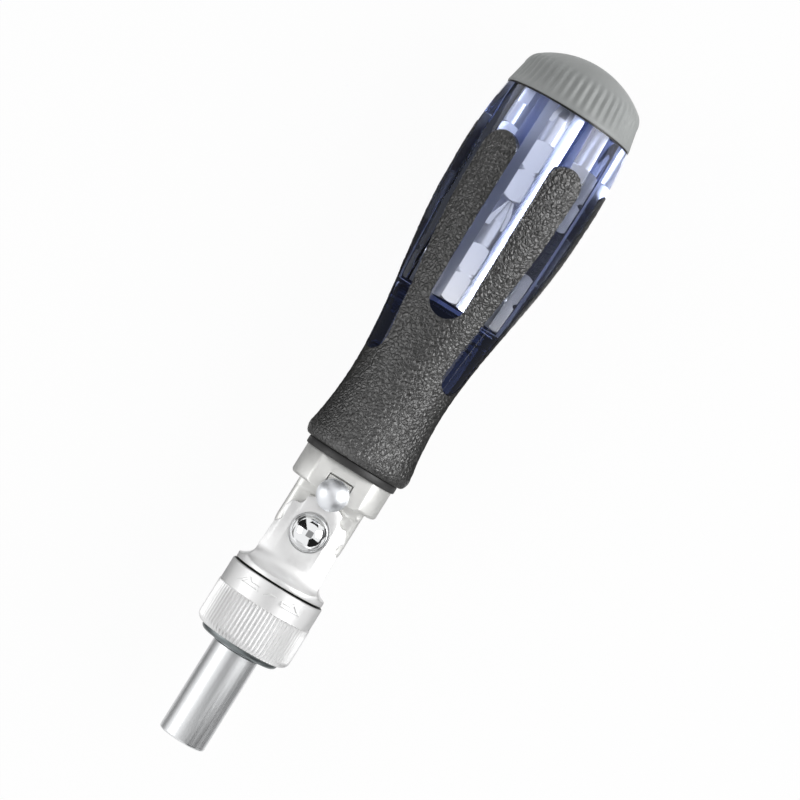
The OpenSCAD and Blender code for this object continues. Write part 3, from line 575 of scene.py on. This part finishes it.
brass = new_finish("brass", (0.7, 0.55, 0.3), 1, 0.3)
vary_roughness(brass, cloud(brass, 0.5), 0.24, 0.38)

bit_steel = new_finish("bit_steel", (0.9, 0.905, 0.91), 1, 0.36)
vary_roughness(bit_steel, cloud(bit_steel, 0.3, stretch=(12, 1, 1)), 0.28, 0.38)
print("metal finishes made")

# %% [markdown]
# Plastics and rubber. The cap is a matte moulding, the collar a smooth black one. The rubber has a leather
# grain: the shape carries its coarse folds, and the finish adds the fine ones, with painted shade in the
# creases and a painted highlight on the paler crests.

# %% Plastic and rubber finishes
grey_plastic = new_finish("grey_plastic", (0.335, 0.348, 0.345), 0, 0.5)
vary_roughness(grey_plastic, cloud(grey_plastic, 0.5), 0.44, 0.58)
vary_colour(grey_plastic, cloud(grey_plastic, 6), (0.32, 0.333, 0.33), (0.35, 0.363, 0.36))
raise_bump(grey_plastic, cloud(grey_plastic, 0.25), 0.012)

black_plastic = new_finish("black_plastic", (0.03, 0.03, 0.03), 0, 0.4)
vary_roughness(black_plastic, cloud(black_plastic, 0.5), 0.34, 0.48)
raise_bump(black_plastic, cloud(black_plastic, 0.3), 0.01)


def pebbles(finish, grain, warp):
    """Cells about grain millimetres wide with wandering borders; 0 in the creases, more in the middle."""
    nodes, links = nodes_of(finish)
    where = nodes.new("ShaderNodeTexCoord")
    wander = nodes.new("ShaderNodeTexNoise")
    wander.inputs["Scale"].default_value = 1 / (0.8 * grain * MM)
    wander.inputs["Detail"].default_value = 2
    shift = nodes.new("ShaderNodeVectorMath")
    shift.operation = "MULTIPLY_ADD"
    shift.inputs[1].default_value = [warp * MM] * 3
    cells = nodes.new("ShaderNodeTexVoronoi")
    cells.feature = "DISTANCE_TO_EDGE"
    cells.inputs["Scale"].default_value = 1 / (grain * MM)
    links.new(where.outputs["Object"], wander.inputs["Vector"])
    links.new(wander.outputs["Color"], shift.inputs[0])
    links.new(where.outputs["Object"], shift.inputs[2])
    links.new(shift.outputs["Vector"], cells.inputs["Vector"])
    return cells.outputs["Distance"]


black_rubber = new_finish("black_rubber", (0.02, 0.0195, 0.0185), 0, 0.42)
rubber_shader = black_rubber.node_tree.nodes["Principled BSDF"]
rubber_shader.inputs["Specular IOR Level"].default_value = 1
rubber_shader.inputs["IOR"].default_value = 1.6
creases = pebbles(black_rubber, 1.0, 1.0)
# Painted shade and highlight: the rubber's colour is near black in the creases and paler on the crests.
vary_colour(black_rubber, creases, (0.002, 0.002, 0.002), (0.036, 0.035, 0.034), 0.0, 0.3)
vary_roughness(black_rubber, cloud(black_rubber, 0.4), 0.28, 0.42)
raise_bump(black_rubber, creases, 0.4)
raise_bump(black_rubber, cloud(black_rubber, 0.35), 0.05)
print("plastic and rubber finishes made")

# %% [markdown]
# Clear blue plastic. A tinted surface would look the same at any depth; the real handle is pale where it is
# thin and navy where one looks along it. So the surface is clear and the volume swallows red and green on
# the way through. Some walls of the channels are rough from the mould; a value on the faces, named frost,
# marks them. A renderer's lamp rays don't bend, so for them alone the surface is see-through and the bits
# inside get their light.

# %% Clear finish
clear_blue = new_finish("clear_blue", (0.97, 0.975, 1.0), 0, 0.02)
clear_nodes, clear_links = nodes_of(clear_blue)
clear_nodes["Principled BSDF"].inputs["IOR"].default_value = 1.49
frost = clear_nodes.new("ShaderNodeAttribute")
frost.attribute_name = "frost"
for socket, clear_value, frosted_value in (("Roughness", 0.02, 0.5), ("Transmission Weight", 1, 0.3)):
    haze = clear_nodes.new("ShaderNodeMapRange")
    haze.inputs["To Min"].default_value = clear_value
    haze.inputs["To Max"].default_value = frosted_value
    clear_links.new(frost.outputs["Fac"], haze.inputs["Value"])
    clear_links.new(haze.outputs["Result"], clear_nodes["Principled BSDF"].inputs[socket])
raise_bump(clear_blue, cloud(clear_blue, 5, detail=1), 0.03)
depth_tint = clear_nodes.new("ShaderNodeVolumeAbsorption")
depth_tint.inputs["Color"].default_value = (0.34, 0.48, 0.87, 1)
depth_tint.inputs["Density"].default_value = 62
clear_out = clear_nodes["Material Output"]
let_light = clear_nodes.new("ShaderNodeBsdfTransparent")
let_light.inputs["Color"].default_value = (0.92, 0.93, 0.96, 1)
light_path = clear_nodes.new("ShaderNodeLightPath")
light_mix = clear_nodes.new("ShaderNodeMixShader")
clear_links.new(light_path.outputs["Is Shadow Ray"], light_mix.inputs[0])
clear_links.new(clear_nodes["Principled BSDF"].outputs["BSDF"], light_mix.inputs[1])
clear_links.new(let_light.outputs[0], light_mix.inputs[2])
clear_links.new(light_mix.outputs[0], clear_out.inputs["Surface"])
clear_links.new(depth_tint.outputs["Volume"], clear_out.inputs["Volume"])
print("clear finish made")

# %% [markdown]
# Bit holder: a plain steel tube with a rounded mouth and a hexagonal socket. It is turned first and then
# the socket is cut with a six-sided rod, which keeps the socket's corners sharp.

# %% Bit holder
def span(node):
    """Where a CAD node starts and ends along the tool, and its greatest radius, in mm."""
    low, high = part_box(node)
    return -high.x / MM, -low.x / MM, max(high.y, high.z) / MM


def hex_radius(width):
    """The corner radius of a hexagon from its width across flats."""
    return width / 2 / math.cos(math.radians(30))


holder_start, holder_end, holder_r = span("bit_holder")
mouth_round = 0.5
foot_bevel = 0.2
socket_r = hex_radius(6.45)
socket_depth = 14
shaft_bore = 3.02
shaft_depth = 4
magnet_bore = 2.77
magnet_depth = 4
holder = lathe("bit_holder_turned", [
    (holder_end, shaft_bore), (holder_end, holder_r - foot_bevel), (holder_end - foot_bevel, holder_r),
    *arc(holder_start + mouth_round, holder_r - mouth_round, mouth_round, 0, -90, 5),
    (holder_start, 0), (holder_end - shaft_depth, 0), (holder_end - shaft_depth, shaft_bore),
    (holder_end, shaft_bore)])
carve(holder, rod((socket_depth, 0, 0), (-1, 0, 0), socket_r, sides=6))
carve(holder, rod((socket_depth + magnet_depth, 0, 0), (socket_depth - 1, 0, 0), magnet_bore))
soften(holder, 0.12, angle=50)
hand_in(holder, "spindle", "bit_holder", satin_steel)

# %% [markdown]
# Nose plate: the dark lip inside the foot of the ring, a turned plate with a round shoulder.

# %% Nose plate
nose_start, nose_end, _ = span("nose_plate")
spigot_length = 1.1
nose_foot = nose_end - spigot_length
rim_r = 9.35
rim_s = 24.05
shoulder = 1.1
face_step = 0.3
nose_bore = 5.05
spigot_r = 6.68
nose = lathe("nose_lip", [
    (nose_start, nose_bore), (nose_start, rim_r - shoulder - face_step),
    *arc(rim_s, rim_r - shoulder, shoulder, -80, 0, 6),
    (nose_foot, rim_r), (nose_foot, spigot_r), (nose_end, spigot_r), (nose_end, nose_bore),
    (nose_start, nose_bore)])
hand_in(nose, "head", "nose_plate", dark_steel)

# %% [markdown]
# Knurls and ribs repeat round the axis. An array modifier could copy them too, but spin copies and closes
# the ring in edit mode with no helper object. One ridge and one gap are modelled on a slice as wide as the
# pitch: the columns of points in the gap are drawn towards the axis, and the slice is then copied round.

# %% Helpers that repeat a slice
def draw_in(piece, start, end, reach, columns, pitch):
    """Draw columns of a slice towards the axis by given depths, between two distances from the tip."""
    for angle, depth in columns:
        def in_column(point):
            turned = abs(math.atan2(point.y, point.z))
            near = abs(turned - angle * pitch) < 0.02 * pitch
            return near and start < -point.x / MM < end and Vector((point.y, point.z)).length / MM > reach

        pick(piece, in_column)
        scale = 1 - depth / reach
        bpy.ops.transform.resize(value=(1, scale, scale), center_override=(0, 0, 0))
        bpy.ops.object.mode_set(mode="OBJECT")


def copy_round(piece, count):
    """Copy a slice round the axis until it closes."""
    choose(piece)
    bpy.ops.object.mode_set(mode="EDIT")
    bpy.ops.mesh.select_all(action="SELECT")
    bpy.ops.mesh.spin(steps=count - 1, angle=math.tau * (count - 1) / count, dupli=True,
                      center=(0, 0, 0), axis=(1, 0, 0))
    bpy.ops.object.mode_set(mode="OBJECT")
    close_up(piece)


# %% [markdown]
# Selector ring: 72 round ridges under a smooth band. The slice is turned in eight steps, so seven columns
# of points can give the gap a round floor.

# %% Selector ring
ring_start, ring_end, ring_r = span("selector_ring")
ring_bore = 9.45
knurl_length = 8.6
knurl_end = ring_start + knurl_length
band_drop = 0.15
band_r = ring_r - band_drop
band_bevel = 0.25
ridge_count = 72
ridge_pitch = math.tau / ridge_count
ring_round = 1.8
foot_drop = 1.3
ring_foot = ring_start - foot_drop
ring = lathe("selector_ring_knurled", [
    (ring_foot, ring_bore), (ring_foot, ring_r - ring_round),
    *arc(ring_foot + ring_round, ring_r - ring_round, ring_round, -80, 0, 6),
    (knurl_end - 2, ring_r), (knurl_end - 0.3, ring_r), (knurl_end - 0.04, ring_r), (knurl_end, band_r),
    (knurl_end + 0.06, band_r), (ring_end - 0.31, band_r), (ring_end - band_bevel, band_r),
    (ring_end, band_r - band_bevel), (ring_end, ring_bore), (ring_foot, ring_bore)],
    steps=8, turn=ridge_pitch)
gap_columns = [(0.125, 0.06), (0.25, 0.2), (0.375, 0.36), (0.5, 0.42),
               (0.625, 0.36), (0.75, 0.2), (0.875, 0.06)]
draw_in(ring, ring_foot + 0.3, knurl_end - 0.1, ring_r - ring_round, gap_columns, ridge_pitch)
copy_round(ring, ridge_count)

# %% [markdown]
# The direction marks are thin raised outlines on the front of the band: a flag-shaped arrow to each side
# and a slanted stroke between them. Each is a flat frame, cut to the band's curve by keeping what lies in a
# thin tube.

# %% Direction marks
band_middle = (knurl_end + ring_end) / 2
mark_rise = 0.3
mark_root = 0.3
mark_low = 5
mark_high = ring_r + 2


def mark_frame(corners, inner, side):
    """A flag-shaped arrow as a thin standing frame over the front of the band, on one side."""
    rim, hole = ([(band_middle - up, side * right) for right, up in part] for part in (corners, inner))
    outside = plate("mark", rim, mark_low, mark_high)
    return carve(outside, plate("mark_inside", hole, mark_low - 1, mark_high + 1))


flag = [(7.8, 0.5), (2.8, 0.5), (2.8, -0.7), (4.9, -0.7), (5.6, -1.5)]
flag_inside = [(6.8, 0.15), (3.15, 0.15), (3.15, -0.35), (5.1, -0.35), (5.7, -0.95)]
stroke = [(-1.5, 0.5), (-0.9, 0.5), (0.2, -0.45), (1.3, -0.45),
          (1.3, -0.8), (0, -0.8), (-1.1, 0.15), (-1.5, 0.15)]
marks = mark_frame(flag, flag_inside, -1)
carve(marks, mark_frame(flag, flag_inside, 1), "UNION")
bar = plate("mark_bar", [(band_middle - up, right) for right, up in stroke], mark_low, mark_high)
carve(marks, bar, "UNION")
carve(marks, lathe("mark_shell", [
    (ring_start, band_r - mark_root), (ring_start, band_r + mark_rise), (ring_end, band_r + mark_rise),
    (ring_end, band_r - mark_root), (ring_start, band_r - mark_root)], steps=288), "INTERSECT")
soften(marks, 0.12, segments=2)
carve(ring, marks, "UNION")
hand_in(ring, "selector", "selector_ring", ring_silver, angle=30)

# %% [markdown]
# Swivel head: one casting with a round flange, hollow shoulders and two cheeks. Its front outline is drawn
# as a plate, its crowned front is turned about an axis far behind it, and what they and a round bar share
# is the head. A round seat is sunk in the front for the pin's head.

# %% Swivel head
hub_start, head_end, flange_r = span("head_yoke")
ring_gap_width = 0.4
flange_width = 1.1
flange_start = ring_end + ring_gap_width
flange_end = flange_start + flange_width
flange_spare = 0.5
head_reach = 12
bar_s = (30, 70)
pivot_s = 52.5
slab_half = 8.0
cheek_half = 6.5
cheek_r = 7.8
slot_half = 2.9
slot_floor = 43.8
crown_r = 18
pin_seat = 5.6
pin_seat_r = 4.4
cheek_bore = 2.52


def mirrored(outline):
    return outline + [(s, -r) for s, r in reversed(outline)]


notch_r = 1.5
notch_centre = cheek_r + notch_r - 1.1


def cheek_reach(turn):
    """How far the cheek reaches from the pivot; 0 degrees points right and 90 degrees to the handle."""
    reach = cheek_r / math.cos(math.radians(min(turn, 0)))
    for middle in range(0, 181, 45):
        off = math.radians(turn - middle)
        depth = notch_r ** 2 - (notch_centre * math.sin(off)) ** 2
        if abs(turn - middle) < 40 and depth > 0:
            reach = min(reach, notch_centre * math.cos(off) - math.sqrt(depth))
    return reach


front_fillet = flange_r - slab_half
side_fillet = flange_r - cheek_half
cheek = [(math.radians(turn), cheek_reach(turn)) for turn in [-14 + 1.3 * i for i in range(80)]]
head = plate("swivel_head", mirrored([
    (flange_start, flange_r + flange_spare), (flange_end, flange_r + flange_spare), (flange_end, flange_r),
    *arc(flange_end + front_fillet, flange_r, front_fillet, -90, -180, 10)[1:],
    *[(pivot_s + reach * math.sin(turn), reach * math.cos(turn)) for turn, reach in cheek
      if turn < math.radians(89.5)]]), -head_reach, head_reach)
flank = [(flange_start - 1, flange_r + flange_spare), (flange_end, flange_r + flange_spare),
         (flange_end, flange_r), *arc(flange_end + side_fillet, flange_r, side_fillet, -90, -180, 12)[1:],
         (head_end + 4, cheek_half)]
crown_drop = crown_r - cheek_half
crown = lathe("head_front", [
    (flank[0][0], 0), *[(s, front + crown_drop) for s, front in flank], (flank[-1][0], 0)], steps=360)
crown.location = (0, 0, -crown_drop * MM)
carve(head, settle(crown), "INTERSECT")
past_head = head_reach + 1
back = [(flank[0][0], past_head), *[(s, -front) for s, front in flank], (flank[-1][0], past_head)]
carve(head, plate("head_back", back, -past_head, past_head, side="right"), "INTERSECT")
carve(head, rod((bar_s[0], 0, 0), (bar_s[1], 0, 0), flange_r, sides=192), "INTERSECT")
carve(head, block((slot_floor, bar_s[1]), (-head_reach, head_reach), (-slot_half, slot_half)))
carve(head, rod((pivot_s, 0, -head_reach), (pivot_s, 0, head_reach), cheek_bore, sides=48))
carve(head, rod((pivot_s, 0, pin_seat), (pivot_s, 0, head_reach), pin_seat_r, sides=96))

# %% [markdown]
# The hub is the part of the head inside the ring: a turned cup for the ratchet, with a pawl's opening on
# each side.

# %% Hub of the head
hub_bore = 6.72
hub_r = 9.4
hub_top = flange_start + 0.4
hub_floor = 33.2
shaft_hole = 3.85
pawl_room_s = (27.05, 31.05)
pawl_room_front = (-8.2, 2.6)
pawl_room_near = 4.5
hub = lathe("hub", [(hub_start, hub_bore), (hub_start, hub_r), (hub_top, hub_r), (hub_top, shaft_hole),
                    (hub_floor, shaft_hole), (hub_floor, hub_bore), (hub_start, hub_bore)], steps=96)
for room in ((pawl_room_near, head_reach), (-head_reach, -pawl_room_near)):
    carve(hub, block(pawl_room_s, room, pawl_room_front))
carve(head, hub, "UNION")
soften(head, 0.2, segments=2)
hand_in(head, "head", "head_yoke", pearl_silver)

# %% [markdown]
# Swivel pin: its mirror dome with a thin rim is the brightest spot of the tool. It is turned along the
# tool's axis like the other round pieces, and then stood up at the pivot.

# %% Swivel pin
def stand_up(piece, s):
    """Stand a piece that was turned with its height as the distance from the tip on the tool, front up."""
    piece.rotation_euler = (0, math.radians(90), 0)
    piece.location = (-s * MM, 0, 0)
    return settle(piece)


dome_steps = 14


def dome_points(foot, foot_r, height):
    """A slice of a ball over a foot circle, up to its top."""
    ball = (foot_r ** 2 + height ** 2) / (2 * height)
    edge = math.degrees(math.asin(foot_r / ball))
    centre = foot + height - ball
    return arc(centre, 0, ball, 90 - edge, 90, dome_steps)


pin_r = 2.5
pin_foot = -cheek_half - 0.75
pin_head_r = 4.1
dome_foot = cheek_half + 0.3
dome_top = 9.3
pin = stand_up(lathe("pivot_dome", [
    (pin_foot, 0), (pin_foot, pin_r), (pin_seat, pin_r), (pin_seat, pin_head_r - 0.05),
    (pin_seat + 0.05, pin_head_r), (dome_foot - 0.1, pin_head_r), (dome_foot, pin_head_r - 0.1),
    (dome_foot, pin_head_r - 0.14), *dome_points(dome_foot, pin_head_r - 0.16, dome_top - dome_foot)],
    steps=128), pivot_s)
hand_in(pin, "head", "pivot_pin", chrome, angle=30)

# %% [markdown]
# Ferrule: a short drum with a flat on the front and the back, a window for the lock, and a tongue that
# reaches between the cheeks. The drum is turned, the points beyond each flat are pressed onto it by a
# resize to nothing about the flat's plane, and the tongue and tang are joined to it.

# %% Ferrule
drum_start = 61.6
drum_end = 68.6
drum_r = 10.5
flat_half = 8.4
drum_round = 0.9
tongue_r = 8.1
tongue_half = 2.5
eye_half = 2.48
neck_start = 58.8
neck_half = 2.8
side_round = 1.5
tang_end = 90.6
tang_r = hex_radius(12.5)
ferrule = lathe("ferrule_cast", [
    (drum_start, 0), (drum_start, drum_r - drum_round),
    *arc(drum_start + drum_round, drum_r - drum_round, drum_round, -75, 0, 5),
    (drum_end, drum_r), (drum_end, 0)], steps=192)
for way in (1, -1):
    pick(ferrule, lambda point: point.z * way > flat_half * MM)
    bpy.ops.transform.resize(value=(1, 1, 0), center_override=(0, 0, way * flat_half * MM))
    bpy.ops.object.mode_set(mode="OBJECT")
tongue_end = drum_start + 3
tongue_width = (-tongue_r, tongue_r)
tongue = block((pivot_s - side_round, tongue_end), tongue_width, (-tongue_half, tongue_half))
soften(tongue, side_round, 5)
eye = rod((pivot_s, 0, -eye_half), (pivot_s, 0, eye_half), tongue_r)
carve(tongue, soften(eye, side_round, 5), "UNION")
neck = block((neck_start, tongue_end), tongue_width, (-neck_half, neck_half))
carve(tongue, soften(neck, side_round, 5), "UNION")
carve(ferrule, tongue, "UNION")
carve(ferrule, rod((drum_end - 0.5, 0, 0), (tang_end, 0, 0), tang_r, sides=6), "UNION")

# %% [markdown]
# Now the ferrule gets its openings: the eye for the pin, the room and the window of the lock, and its
# spring's hole.

# %% Openings of the ferrule
eye_bore = 2.55
room_end = 66.96
room_half = 3.1
room_front = (3.0, 6.3)
lock_end = 65.95
lock_half = 2.95
lock_front = (6.2, 12)
spring_front = 4.35
spring_hole_s = (66, 72.9)
spring_hole_r = 1.13
carve(ferrule, rod((pivot_s, 0, -head_reach), (pivot_s, 0, head_reach), eye_bore, sides=48))
carve(ferrule, block((drum_start - 1, room_end), (-room_half, room_half), room_front))
carve(ferrule, block((drum_start - 1, lock_end), (-lock_half, lock_half), lock_front))
hole_start, hole_end = ((s, 0, spring_front) for s in spring_hole_s)
carve(ferrule, rod(hole_start, hole_end, spring_hole_r, sides=32))
soften(ferrule, 0.2, segments=2)
hand_in(ferrule, "handle", "ferrule", cast_silver, angle=45)

# %% [markdown]
# Lock button: a low satin dome on a stem, over the window.

# %% Lock button
button_s = 62.0
button_low = 8.7
button_r = 3.55
button_top = 10.95
button_edge = 0.15
rim_height = 0.35
stem_foot = 7.0
stem_r = 1.7
button = stand_up(lathe("lock_button_dome", [
    (stem_foot, 0), (stem_foot, stem_r), (button_low, stem_r), (button_low, button_r - button_edge),
    (button_low + button_edge, button_r), (button_low + 0.3, button_r),
    *dome_points(button_low + rim_height, button_r - 0.03, button_top - button_low - rim_height)],
    steps=128), button_s)
hand_in(button, "lock", "lock_button", satin_chrome, angle=45)

# %% [markdown]
# Collar: the smooth black ring that the grip sits on.

# %% Collar
collar_start, collar_end, collar_r = span("grip_collar")
collar_bore = 9.05
collar_round = 0.35
collar = lathe("collar_ring", [
    (collar_start, collar_bore), (collar_start, collar_r - collar_round),
    *arc(collar_start + collar_round, collar_r - collar_round, collar_round, -90, 0, 4),
    *arc(collar_end - collar_round, collar_r - collar_round, collar_round, 0, 90, 4),
    (collar_end, collar_bore), (collar_start, collar_bore)])
hand_in(collar, "handle", "grip_collar", black_plastic)

# %% [markdown]
# The handle's outline is shared by the rubber and the clear body: a rounded lip, a waist, a long swell and
# a belly that draws in towards the cap. It is written as a formula, so that both pieces follow the same
# curve.

# %% Handle outline
grip_start = 70.4
lip_s = 73.0
waist_s = 88.0
swell_s = 136.0
belly_s = 142.0
seat_s = 157.0
lip_r = 12.63
lip_round = 1.2
waist_r = 11.2
belly_r = 16.4
seat_r = 15.3
finger_s = 142.4
rib_width = 8.1
handle_turn = math.radians(-4.4)


def crown_radius(s):
    return belly_r - (belly_r - seat_r) * ((s - belly_s) / (seat_s - belly_s)) ** 2


def handle_radius(s):
    if s < waist_s:
        return waist_r + (lip_r - waist_r) * (1 - (s - lip_s) / (waist_s - lip_s)) ** 2
    if s < swell_s:
        t = (s - waist_s) / (swell_s - waist_s)
        return waist_r + (crown_radius(swell_s) - waist_r) * t * t * (3 - 2 * t)
    return crown_radius(s)


def handle_outline(inset, end, step):
    """The outline from the lip to an end, drawn in by an inset."""
    count = round((end - lip_s) / step)
    lip = []
    for i in range(6):
        a = math.radians(18 * i)
        lip.append((grip_start + (lip_s - grip_start) * (1 - math.cos(a)),
                    lip_r - inset - lip_round * (1 - math.sin(a))))
    rest = [lip_s + (end - lip_s) * (i + 1) / count for i in range(count)]
    return lip + [(s, handle_radius(s) - inset) for s in rest]


# %% [markdown]
# The rubber leaves six ribs of clear plastic free, each with a round foot, and ends in six round fingers.
# One cutting shape holds all of that, because the rubber and its pocket in the clear body both need it.

# %% Windows in the rubber
finger_half = math.radians(30) - math.asin(rib_width / 2 / crown_radius(finger_s))
finger_r = crown_radius(finger_s) * math.sin(finger_half)
print("finger radius", round(finger_r, 2))


def outward(turn, reach):
    """A place at a reach from the axis, turned about it from the front, as (right, front)."""
    return reach * math.sin(turn), reach * math.cos(turn)


window_low = 7
window_high = 24
window_end = 152
short_foot = 18
long_foot = 4.8


def windows(width, end_r):
    """What the six ribs and the round finger ends leave out of the rubber, as one cutting shape."""
    top = lathe("windows", [(finger_s, window_low), (finger_s, window_high), (window_end, window_high),
                            (window_end, window_low), (finger_s, window_low)], steps=96)
    for k in range(6):
        turn = handle_turn + math.radians(60 * k + 30)
        near, far = outward(turn, 2 * finger_r), outward(turn, window_high + 2)
        carve(top, rod((finger_s, *near), (finger_s, *far), end_r, sides=64))
    for k in range(6):
        foot = waist_s + (short_foot if k % 2 == 0 else long_foot) + rib_width / 2
        slot = plate("slot", [
            (finger_s + 3, -width / 2), (finger_s + 3, width / 2),
            *arc(foot, 0, width / 2, 0, -180, 24)], rib_width, window_high)
        slot.rotation_euler = (-(handle_turn + math.radians(60 * k)), 0, 0)
        carve(top, settle(slot), "UNION")
    return top


# %% [markdown]
# Rubber grip: a sleeve with six fingers between the clear ribs. It is turned with a close mesh outside, the
# windows are cut, and two displacements give the coarse folds of its leather grain to the outer face alone.

# %% Rubber grip
rubber_depth = 1.8
finger_top = finger_s + finger_r
sleeve_end = finger_top + 0.4
outer = handle_outline(0, sleeve_end, 0.36)
inner = handle_outline(rubber_depth, sleeve_end, 3)
rubber = lathe("rubber_sleeve", [*outer, *reversed(inner), outer[0]], steps=240)
carve(rubber, windows(rib_width, finger_r))
face_group = rubber.vertex_groups.new(name="outer_face")
for point in rubber.data.vertices:
    s = -point.co.x / MM
    r = Vector((point.co.y, point.co.z)).length / MM
    below = handle_radius(max(s, lip_s)) - r
    face_group.add([point.index], 1 if below < 0.05 else 0, "REPLACE")


def emboss(piece, name, kind, size, height):
    """Push the outer face in and out with one of the procedural textures."""
    pattern = bpy.data.textures.new(name, kind)
    pattern.noise_scale = size * MM
    if kind == "VORONOI":
        pattern.weight_1 = -1
        pattern.weight_2 = 1
    push = piece.modifiers.new(name, "DISPLACE")
    push.texture = pattern
    push.texture_coords = "LOCAL"
    push.vertex_group = "outer_face"
    push.mid_level = 0.5
    push.strength = height * MM
    apply_last(piece)


emboss(rubber, "leather_cells", "VORONOI", 1.1, 0.22)
emboss(rubber, "leather_folds", "CLOUDS", 0.9, 0.2)
hand_in(rubber, "handle", "rubber_grip", black_rubber, angle=60)

# %% [markdown]
# Clear body: a solid of clear plastic with six hexagonal channels, pockets for the rubber and a socket for
# the tang. Clear plastic shows all of its inside, so the channels and pockets are really cut. The rubber is
# bonded on: the clear body reaches a hair into it, so that no film of air is left between them to shine
# like a mirror.

# %% Clear body
bond = 0.06
rib_drop = 0.2
tail_r = 9.03
tail_end = grip_start - 0.2
cap_spigot_r = 13.4
spigot_bevel = 0.2
core_end = 161.5
body = handle_outline(rib_drop, seat_s, 1.0)
core = lathe("clear_body", [
    (collar_start, 0), (collar_start, tail_r), (tail_end, tail_r), (tail_end, body[0][1]), *body,
    (seat_s, cap_spigot_r), (core_end - spigot_bevel, cap_spigot_r),
    (core_end, cap_spigot_r - spigot_bevel), (core_end, 0)], steps=192)
pocket_start = grip_start - 0.4
pocket_end = finger_top + 1
pocket_r = 20
pocket_inner = handle_outline(rubber_depth - bond, pocket_end, 2)
pocket = lathe("pocket", [
    (pocket_start, pocket_r), (pocket_end, pocket_r), *reversed(pocket_inner),
    (pocket_start, pocket_inner[0][1]), (pocket_start, pocket_r)], steps=192)
carve(pocket, windows(rib_width + 2 * bond, finger_r - bond))
carve(core, pocket)
carve(core, rod((collar_start - 1, 0, 0), (tang_end + 0.02, 0, 0), tang_r + 0.03, sides=6))

# %% [markdown]
# The six channels have a flat side outwards, as the bits in them. After the cut, a value named frost is
# written on the rough walls: those towards the axis in every channel, and the two beside the outer wall in
# the front one.

# %% Channels of the clear body
channel_r = hex_radius(6.7)
channel_reach = 8.8
channel_start = 109.6
channel_end = 170
flat_outwards = 30
for k in range(6):
    across, up = outward(handle_turn + math.radians(60 * k), channel_reach)
    hole = rod((channel_start, 0, 0), (channel_end, 0, 0), channel_r, sides=6)
    hole.location = (0, across * MM, up * MM)
    hole.rotation_euler = (-(handle_turn + math.radians(60 * k + flat_outwards)), 0, 0)
    carve(core, settle(hole))
rear_walls = (2, 3, 4)
front_frost = {1: 0.4, 5: 0.8}
frosted = core.data.attributes.new("frost", "FLOAT", "FACE")
for face in core.data.polygons:
    for k in range(6):
        turn = handle_turn + math.radians(60 * k)
        across, up = outward(turn, channel_reach)
        away = Vector((face.center.y / MM - across, face.center.z / MM - up))
        wall = round(math.degrees(math.atan2(away.x, away.y) - turn) / 60) % 6
        in_channel = away.length < channel_r and -face.center.x / MM > channel_start
        if in_channel and abs(face.normal.x) < 0.4:
            rear_frost = 1 if wall in rear_walls else 0
            frosted.data[face.index].value = front_frost.get(wall, rear_frost) if k == 0 else rear_frost
hand_in(core, "handle", "handle_core", clear_blue, angle=28)

# %% [markdown]
# End cap: a domed cap whose skirt has 48 soft ribs that run out into the dome. It is made from one slice,
# as the ring.

# %% End cap
cap_start, cap_end, cap_r = span("end_cap")
skirt_end = 162.5
skirt_r = 14.2
cap_round = 4.0
cap_wall = 1.8
cap_bore = 13.5
cap_edge = 0.15
rib_count = 48
rib_pitch = math.tau / rib_count
rib_floor = 10.5
round_r = skirt_r - cap_round
rise = cap_end - skirt_end
dome_r = (round_r ** 2 + rise ** 2 - cap_round ** 2) / (2 * (rise - cap_round))
dome_s = cap_end - dome_r
round_end = math.degrees(math.atan2(skirt_end - dome_s, round_r))


def cap_outline(inset):
    return [*arc(skirt_end, round_r, cap_round - inset, 0, round_end, 8),
            *arc(dome_s, 0, dome_r - inset, round_end, 90, 12)[1:]]


skirt = [(cap_start + (skirt_end - cap_start) * t, cap_r + (skirt_r - cap_r) * t)
         for t in (0.05, 0.15, 0.25, 0.4, 0.55, 0.7, 0.85)]
cap = lathe("cap_domed", [
    *reversed(cap_outline(cap_wall)), (skirt_end, cap_bore), (cap_start, cap_bore),
    (cap_start, cap_r - cap_edge), *skirt, *cap_outline(0)], steps=8, turn=rib_pitch)
rib_shape = [(0.125, 0.15), (0.25, 0.5), (0.375, 0.85), (0.5, 1.0),
             (0.625, 0.85), (0.75, 0.5), (0.875, 0.15)]
rib_rows = [(158.3, 158.8, 0.12), (158.8, 159.8, 0.24), (159.8, 160.5, 0.3), (160.5, 161.2, 0.32),
            (161.2, 162.0, 0.34), (162.0, 162.6, 0.34), (162.6, 163.3, 0.33), (163.3, 164.1, 0.3),
            (164.1, 164.7, 0.24), (164.7, 165.3, 0.16), (165.3, 165.8, 0.07)]
for row_start, row_end, depth in rib_rows:
    draw_in(cap, row_start, row_end, rib_floor, [(at, depth * much) for at, much in rib_shape], rib_pitch)
copy_round(cap, rib_count)
hand_in(cap, "cap", "end_cap", grey_plastic, angle=50)

# %% [markdown]
# The pieces that keep their CAD shape: the bits behind the clear plastic, the lock's block, and the works
# inside.

# %% Finishes of the CAD pieces that stay
kept = (
    (magnet_grey, ("bit_magnet",)),
    (satin_steel, ("spindle_shaft", "ratchet_gear", "pawl_left", "pawl_right", "pawl_pins")),
    (spring_steel, ("pawl_springs", "detent_spring", "lock_spring")),
    (chrome, ("detent_ball", "pivot_end_cap")),
    (brass, ("pivot_washers",)),
    (cast_silver, ("lock_slider",)),
    (bit_steel, ("phillips_bits", "slotted_bits", "star_bits", "hex_bits")),
    (black_plastic, ("cap_gasket",)))
for finish, names in kept:
    for name in names:
        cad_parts[name].material_slots[0].material = finish
print(sum(len(names) for _, names in kept), "CAD pieces keep their shape")
